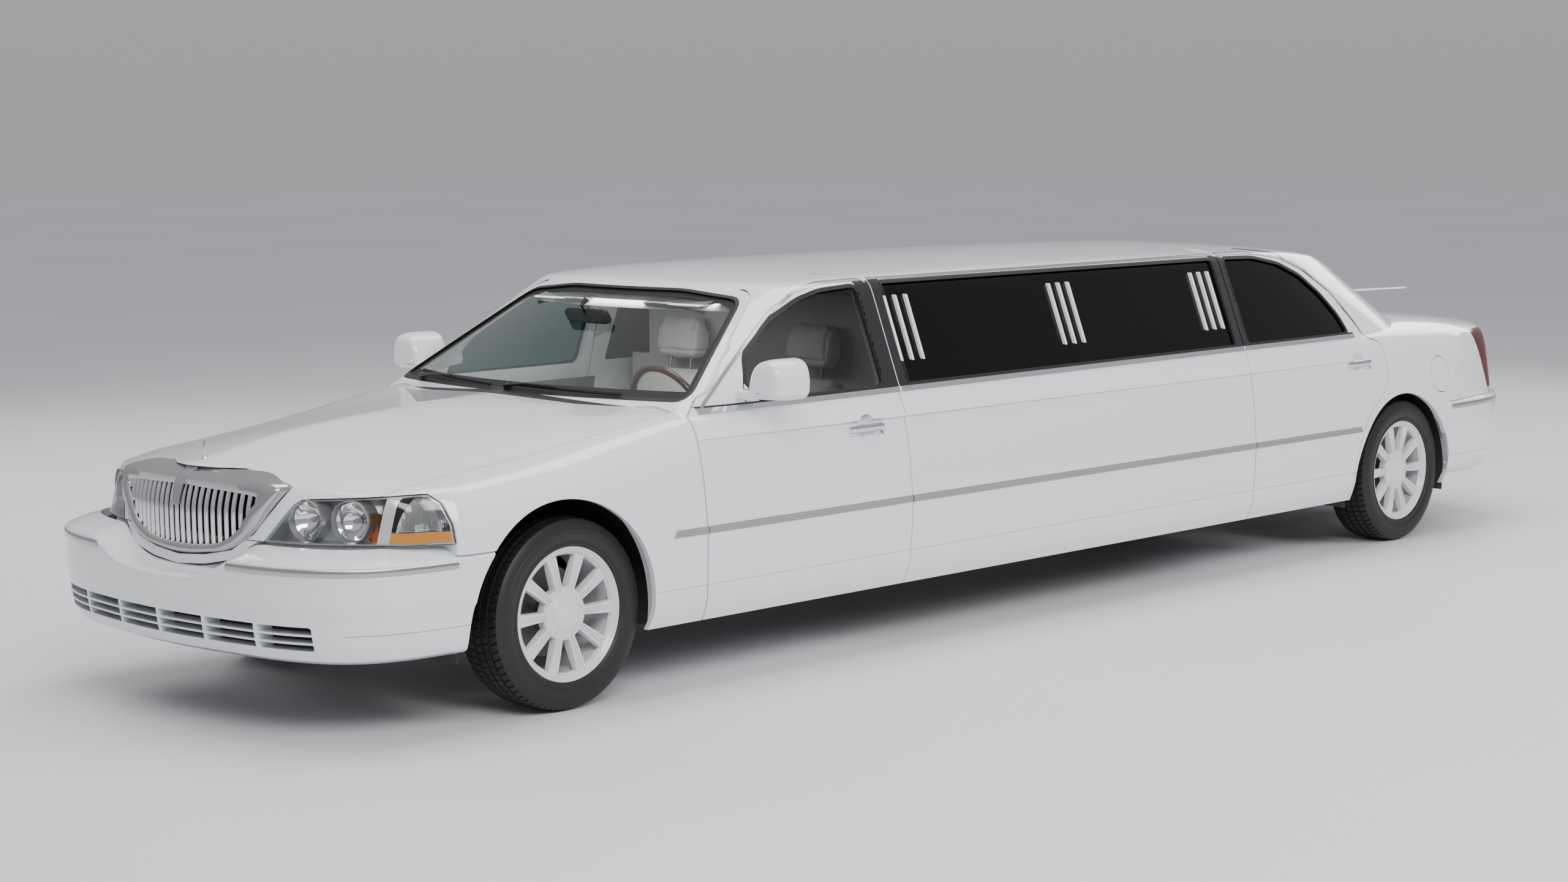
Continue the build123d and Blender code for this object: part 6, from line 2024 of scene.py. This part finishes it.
# dashboard
woodTrim = wornMaterial("woodTrim", (0.13, 0.036, 0.012), 0.16, dust=0.05, mottle=0.55, scale=55.0, bump=0.05,
    Coat_Weight=0.8)
dash = {
    "profile": [(0.64, 0.745), (0.64, 0.962), (0.68, 0.984), (0.8, 0.984), (0.858, 0.972), (0.884, 0.945), (0.896,
        0.905), (0.898, 0.86), (0.88, 0.8), (0.84, 0.745)],
    "half": 0.788,
    "wood": (0.856, 0.892),
    "hood": [(0.7, 0.975), (0.74, 1.0), (0.82, 1.004), (0.868, 0.988), (0.874, 0.96), (0.7, 0.955)],
}
profile = rounded([(at("f", y), z) for y, z in dash["profile"]], 0.02, 4)
dashPiece = named(prism(profile, "x", -dash["half"], dash["half"]), "dashboard.body", dashGrey)
vents = [(x, 0.925) for x in (-0.7, -0.1, 0.1, 0.66)]
for x, z in vents:
    carve(dashPiece, block(x - 0.055, x + 0.055, at("f", 0.87), at("f", 0.95), z - 0.02, z + 0.02), spend=True)
shadeSmooth(dashPiece, 35)
fit(dashPiece, "body", "dash_plastic", "dashboard")
slats = [block(x - 0.054, x + 0.054, at("f", 0.872), at("f", 0.888), z + d - 0.0012, z + d + 0.0012) for x, z in vents
    for d in (-0.012, -0.004, 0.004, 0.012)]
fit(named(joined(slats, "dashboard.vents"), "dashboard.vents", blackPlastic), "body", "dash_plastic", "dashboard")
low, high = dash["wood"]
strip = prism([(at("f", 0.89), low), (at("f", 0.89), high), (at("f", 0.8995), high - 0.003), (at("f", 0.8998),
    low + 0.003)], "x", -0.775, 0.775)
fit(named(strip, "dashboard.wood", woodTrim), "body", "dash_plastic", "dashboard")
hoodLoops = []
for x, size in ((0.19, 0.25), (0.205, 0.7), (0.235, 0.95), (0.29, 1.0), (0.48, 1.0), (0.535, 0.95), (0.565, 0.7),
        (0.58, 0.25)):
    hoodLoops.append([(x, at("f", y), 0.955 + (z - 0.955) * size) for y, z in rounded([(y, z) for y,
        z in dash["hood"]], 0.012)])
binnacle = toObject(bridged(hoodLoops), "dashboard.hood", dashGrey, 40)
fit(binnacle, "body", "dash_plastic", "dashboard")

# steering wheel
lean = math.radians(22.0)
steering = {"place": Vector((seat["x"], at("f", 0.905), 0.925)), "axis": Vector((0, math.cos(lean), math.sin(lean))),
    "offset": 0.11, "radius": 0.188, "rim": 0.0135}
hubPlace = steering["place"] + steering["axis"] * steering["offset"]
rim = spun(circle(steering["rim"], 16, (steering["radius"], 0.0)), hubPlace, steering["axis"], "steeringWheel.rim",
    woodTrim, 96, True, 60)
hub = spun([(0.0, 0.012), (0.045, 0.01), (0.066, 0.003), (0.072, -0.012), (0.06, -0.03), (0.03, -0.04), (0.026,
    -0.088), (0.0, -0.088)], hubPlace, steering["axis"], "steeringWheel.hub", dashGrey, 48)
turn = steering["axis"].to_track_quat("Z", "Y")
spokes = []
for angle in (-12, 192, 235, 305):
    t = math.radians(angle)
    out = turn @ Vector((math.cos(t), math.sin(t), 0))
    spokes.append(rodThrough([hubPlace + out * 0.05 - steering["axis"] * 0.012,
        hubPlace + out * 0.12 - steering["axis"] * 0.01, hubPlace + out * 0.186], [0.02, 0.013, 0.011], "cutter",
        dashGrey, 12, 0.5))
spokes = joined(spokes, "steeringWheel.spokes")
shadeSmooth(spokes, 50)
for piece in (rim, hub, spokes):
    fit(piece, "steering_wheel", "dash_plastic", "steering_wheel")
print("dashboard and steering wheel ready")

# trim panels inside the doors, headlining, visors and the inner mirror
innerForms = {name: lowerForm(*sizes) for name, sizes in (("card", (0.0885, 0.0355)), ("back", (0.0945, 0.0415)))}
cards = [("frontCard", "door_front", (at("f", 0.7), at("f", 1.74))), ("rearCard", "door_rear", (at("r", -1.32),
    at("r", -0.42)))]
for name, body, (y0, y1) in cards:
    for part, low, high, material in (("Lower", 0.36, 0.862, greyLeather), ("Wood", 0.866, 0.892, woodTrim), ("Upper",
            0.896, 0.985, dashGrey)):
        zone = block(0.5, 1.0, y0, y1, low, high)
        if body == "door_rear":
            carve(zone, block(0.4, 1.1, at("r", -0.62), at("r", 0.0), 0.2, 0.8), spend=True)
        onePer(layer(name + part, innerForms["card"], innerForms["back"], zone, material), name + part, body,
            "grey_leather")
drop(*innerForms.values())
liner = {"outer": cabinForm(0.0425), "inner": cabinForm(0.0475)}
lining = layer("headlining", liner["outer"], liner["inner"], block(-0.58, 0.58, at("f", 1.02), at("r", -0.35), 1.36,
    1.6), headCloth)
fit(lining, "body", "grey_leather")
drop(*liner.values())
for side, x in (("left", 0.33), ("right", -0.33)):
    loops = []
    for dx, size in ((-0.165, 0.6), (-0.16, 0.9), (-0.15, 1.0), (0.15, 1.0), (0.16, 0.9), (0.165, 0.6)):
        loops.append([(x + dx, at("f", y), z) for y, z in rounded([(1.085 + 0.04 * (1 - size), 1.372), (1.2, 1.4),
            (1.198, 1.412), (1.081, 1.384)], 0.005)])
    fit(toObject(bridged(loops), "visor." + side, dashGrey, 40), "body", "grey_leather")
mirrorLoops = []
for x, size in ((-0.118, 0.5), (-0.112, 0.85), (-0.095, 1.0), (0.095, 1.0), (0.112, 0.85), (0.118, 0.5)):
    mirrorLoops.append([(x, at("f", 0.935) + b * 0.014 - c * 0.008, 1.332 + c * 0.031 * size) for b,
        c in rounded(rect(-1, 1, -1, 1), 0.5)])
fit(toObject(bridged(mirrorLoops), "innerMirror", blackPlastic, 40), "body", "black_plastic")
fit(rodThrough([(0, at("f", 0.925), 1.335), (0, at("f", 0.9), 1.375), (0, at("f", 0.925), 1.398)], [0.01, 0.007,
    0.012], "innerMirrorStem", blackPlastic, 10), "body", "black_plastic")
print("interior ready")


# sill seam along the sides
skinOut, skinIn = lowerForm(-0.01), lowerForm(0.0035)
seamRing = carve(carve(skinOut, block(-1.2, 1.2, at("f", 0.3), at("r", -0.45), 0.3885, 0.3915), "INTERSECT", True),
    skinIn, spend=True)
for name in ("bodyShell", "fenderLeft", "fenderRight", "frontDoorLeft", "frontDoorRight", "rearDoorLeft",
        "rearDoorRight"):
    carve(bpy.data.objects[name], seamRing)
    shadeSmooth(bpy.data.objects[name], 32)
drop(seamRing)

# dark liners in the wheel wells
wellRows = {
    # inner and outer x, then circles whose union the liner follows: y, z, radius
    "f": (0.42, 0.9, [(at("f", -0.075), 0.345, 0.452), (at("f", 0.006), 0.3515, 0.417)]),
    "r": (0.7, 0.93, [(at("r", -0.05), 0.312, 0.456)]),
}


def wellReach(circles, centre, t):
    # how far a ray from the centre runs before it leaves the last circle
    ahead = Vector((math.cos(t), math.sin(t)))
    reach = []
    for y, z, radius in circles:
        off = Vector((y - centre.x, z - centre.y))
        reach.append(ahead.dot(off) + math.sqrt(radius ** 2 - off.length_squared + ahead.dot(off) ** 2))
    return max(reach)


for anchor, (inner, outer, circles) in wellRows.items():
    centre = sum((Vector(c[:2]) for c in circles), Vector((0, 0))) / len(circles)
    loops = []
    for k in range(49):
        t = math.radians(-12 + 204 * k / 48)
        reach = wellReach(circles, centre, t)
        loops.append([(x, centre.x + math.cos(t) * r, centre.y + math.sin(t) * r) for x, r in ((inner, reach), (outer,
            reach), (outer, reach + 0.004), (inner, reach + 0.004))])
    onePer(toObject(bridged(loops), anchor + "Liner", gapBlack, 40), anchor + "Liner", "body", "black_plastic")

# what shows from below keeps its solid, with its own finish
underNodes = {
    "frame": frameSteel, "floor_pan": frameSteel, "firewall": blackPlastic, "engine": castSteel,
    "front_suspension": castSteel, "knuckle_left": castSteel, "knuckle_right": castSteel, "rear_axle": frameSteel,
    "exhaust": tinSteel, "fuel_tank": blackPlastic, "partition": palePlastic,
}
for name, material in underNodes.items():
    nodes[name].data.materials.clear()
    nodes[name].data.materials.append(material)
for name, piece in nodes.items():
    if name not in underNodes and not piece.hide_render:
        print("still showing", name)


# the forms that the panels were cut from go
scaffold = ["wall", "lidShell", "flapShell", "lipForm", "lowerOuter", "lowerInner", "lidInner", "cabinOuter",
    "cabinInner", "pane"]
for piece in list(bpy.data.objects):
    if piece.name in scaffold or piece.name.startswith(("cutter", "cabinForm", "lowerForm")):
        drop(piece)
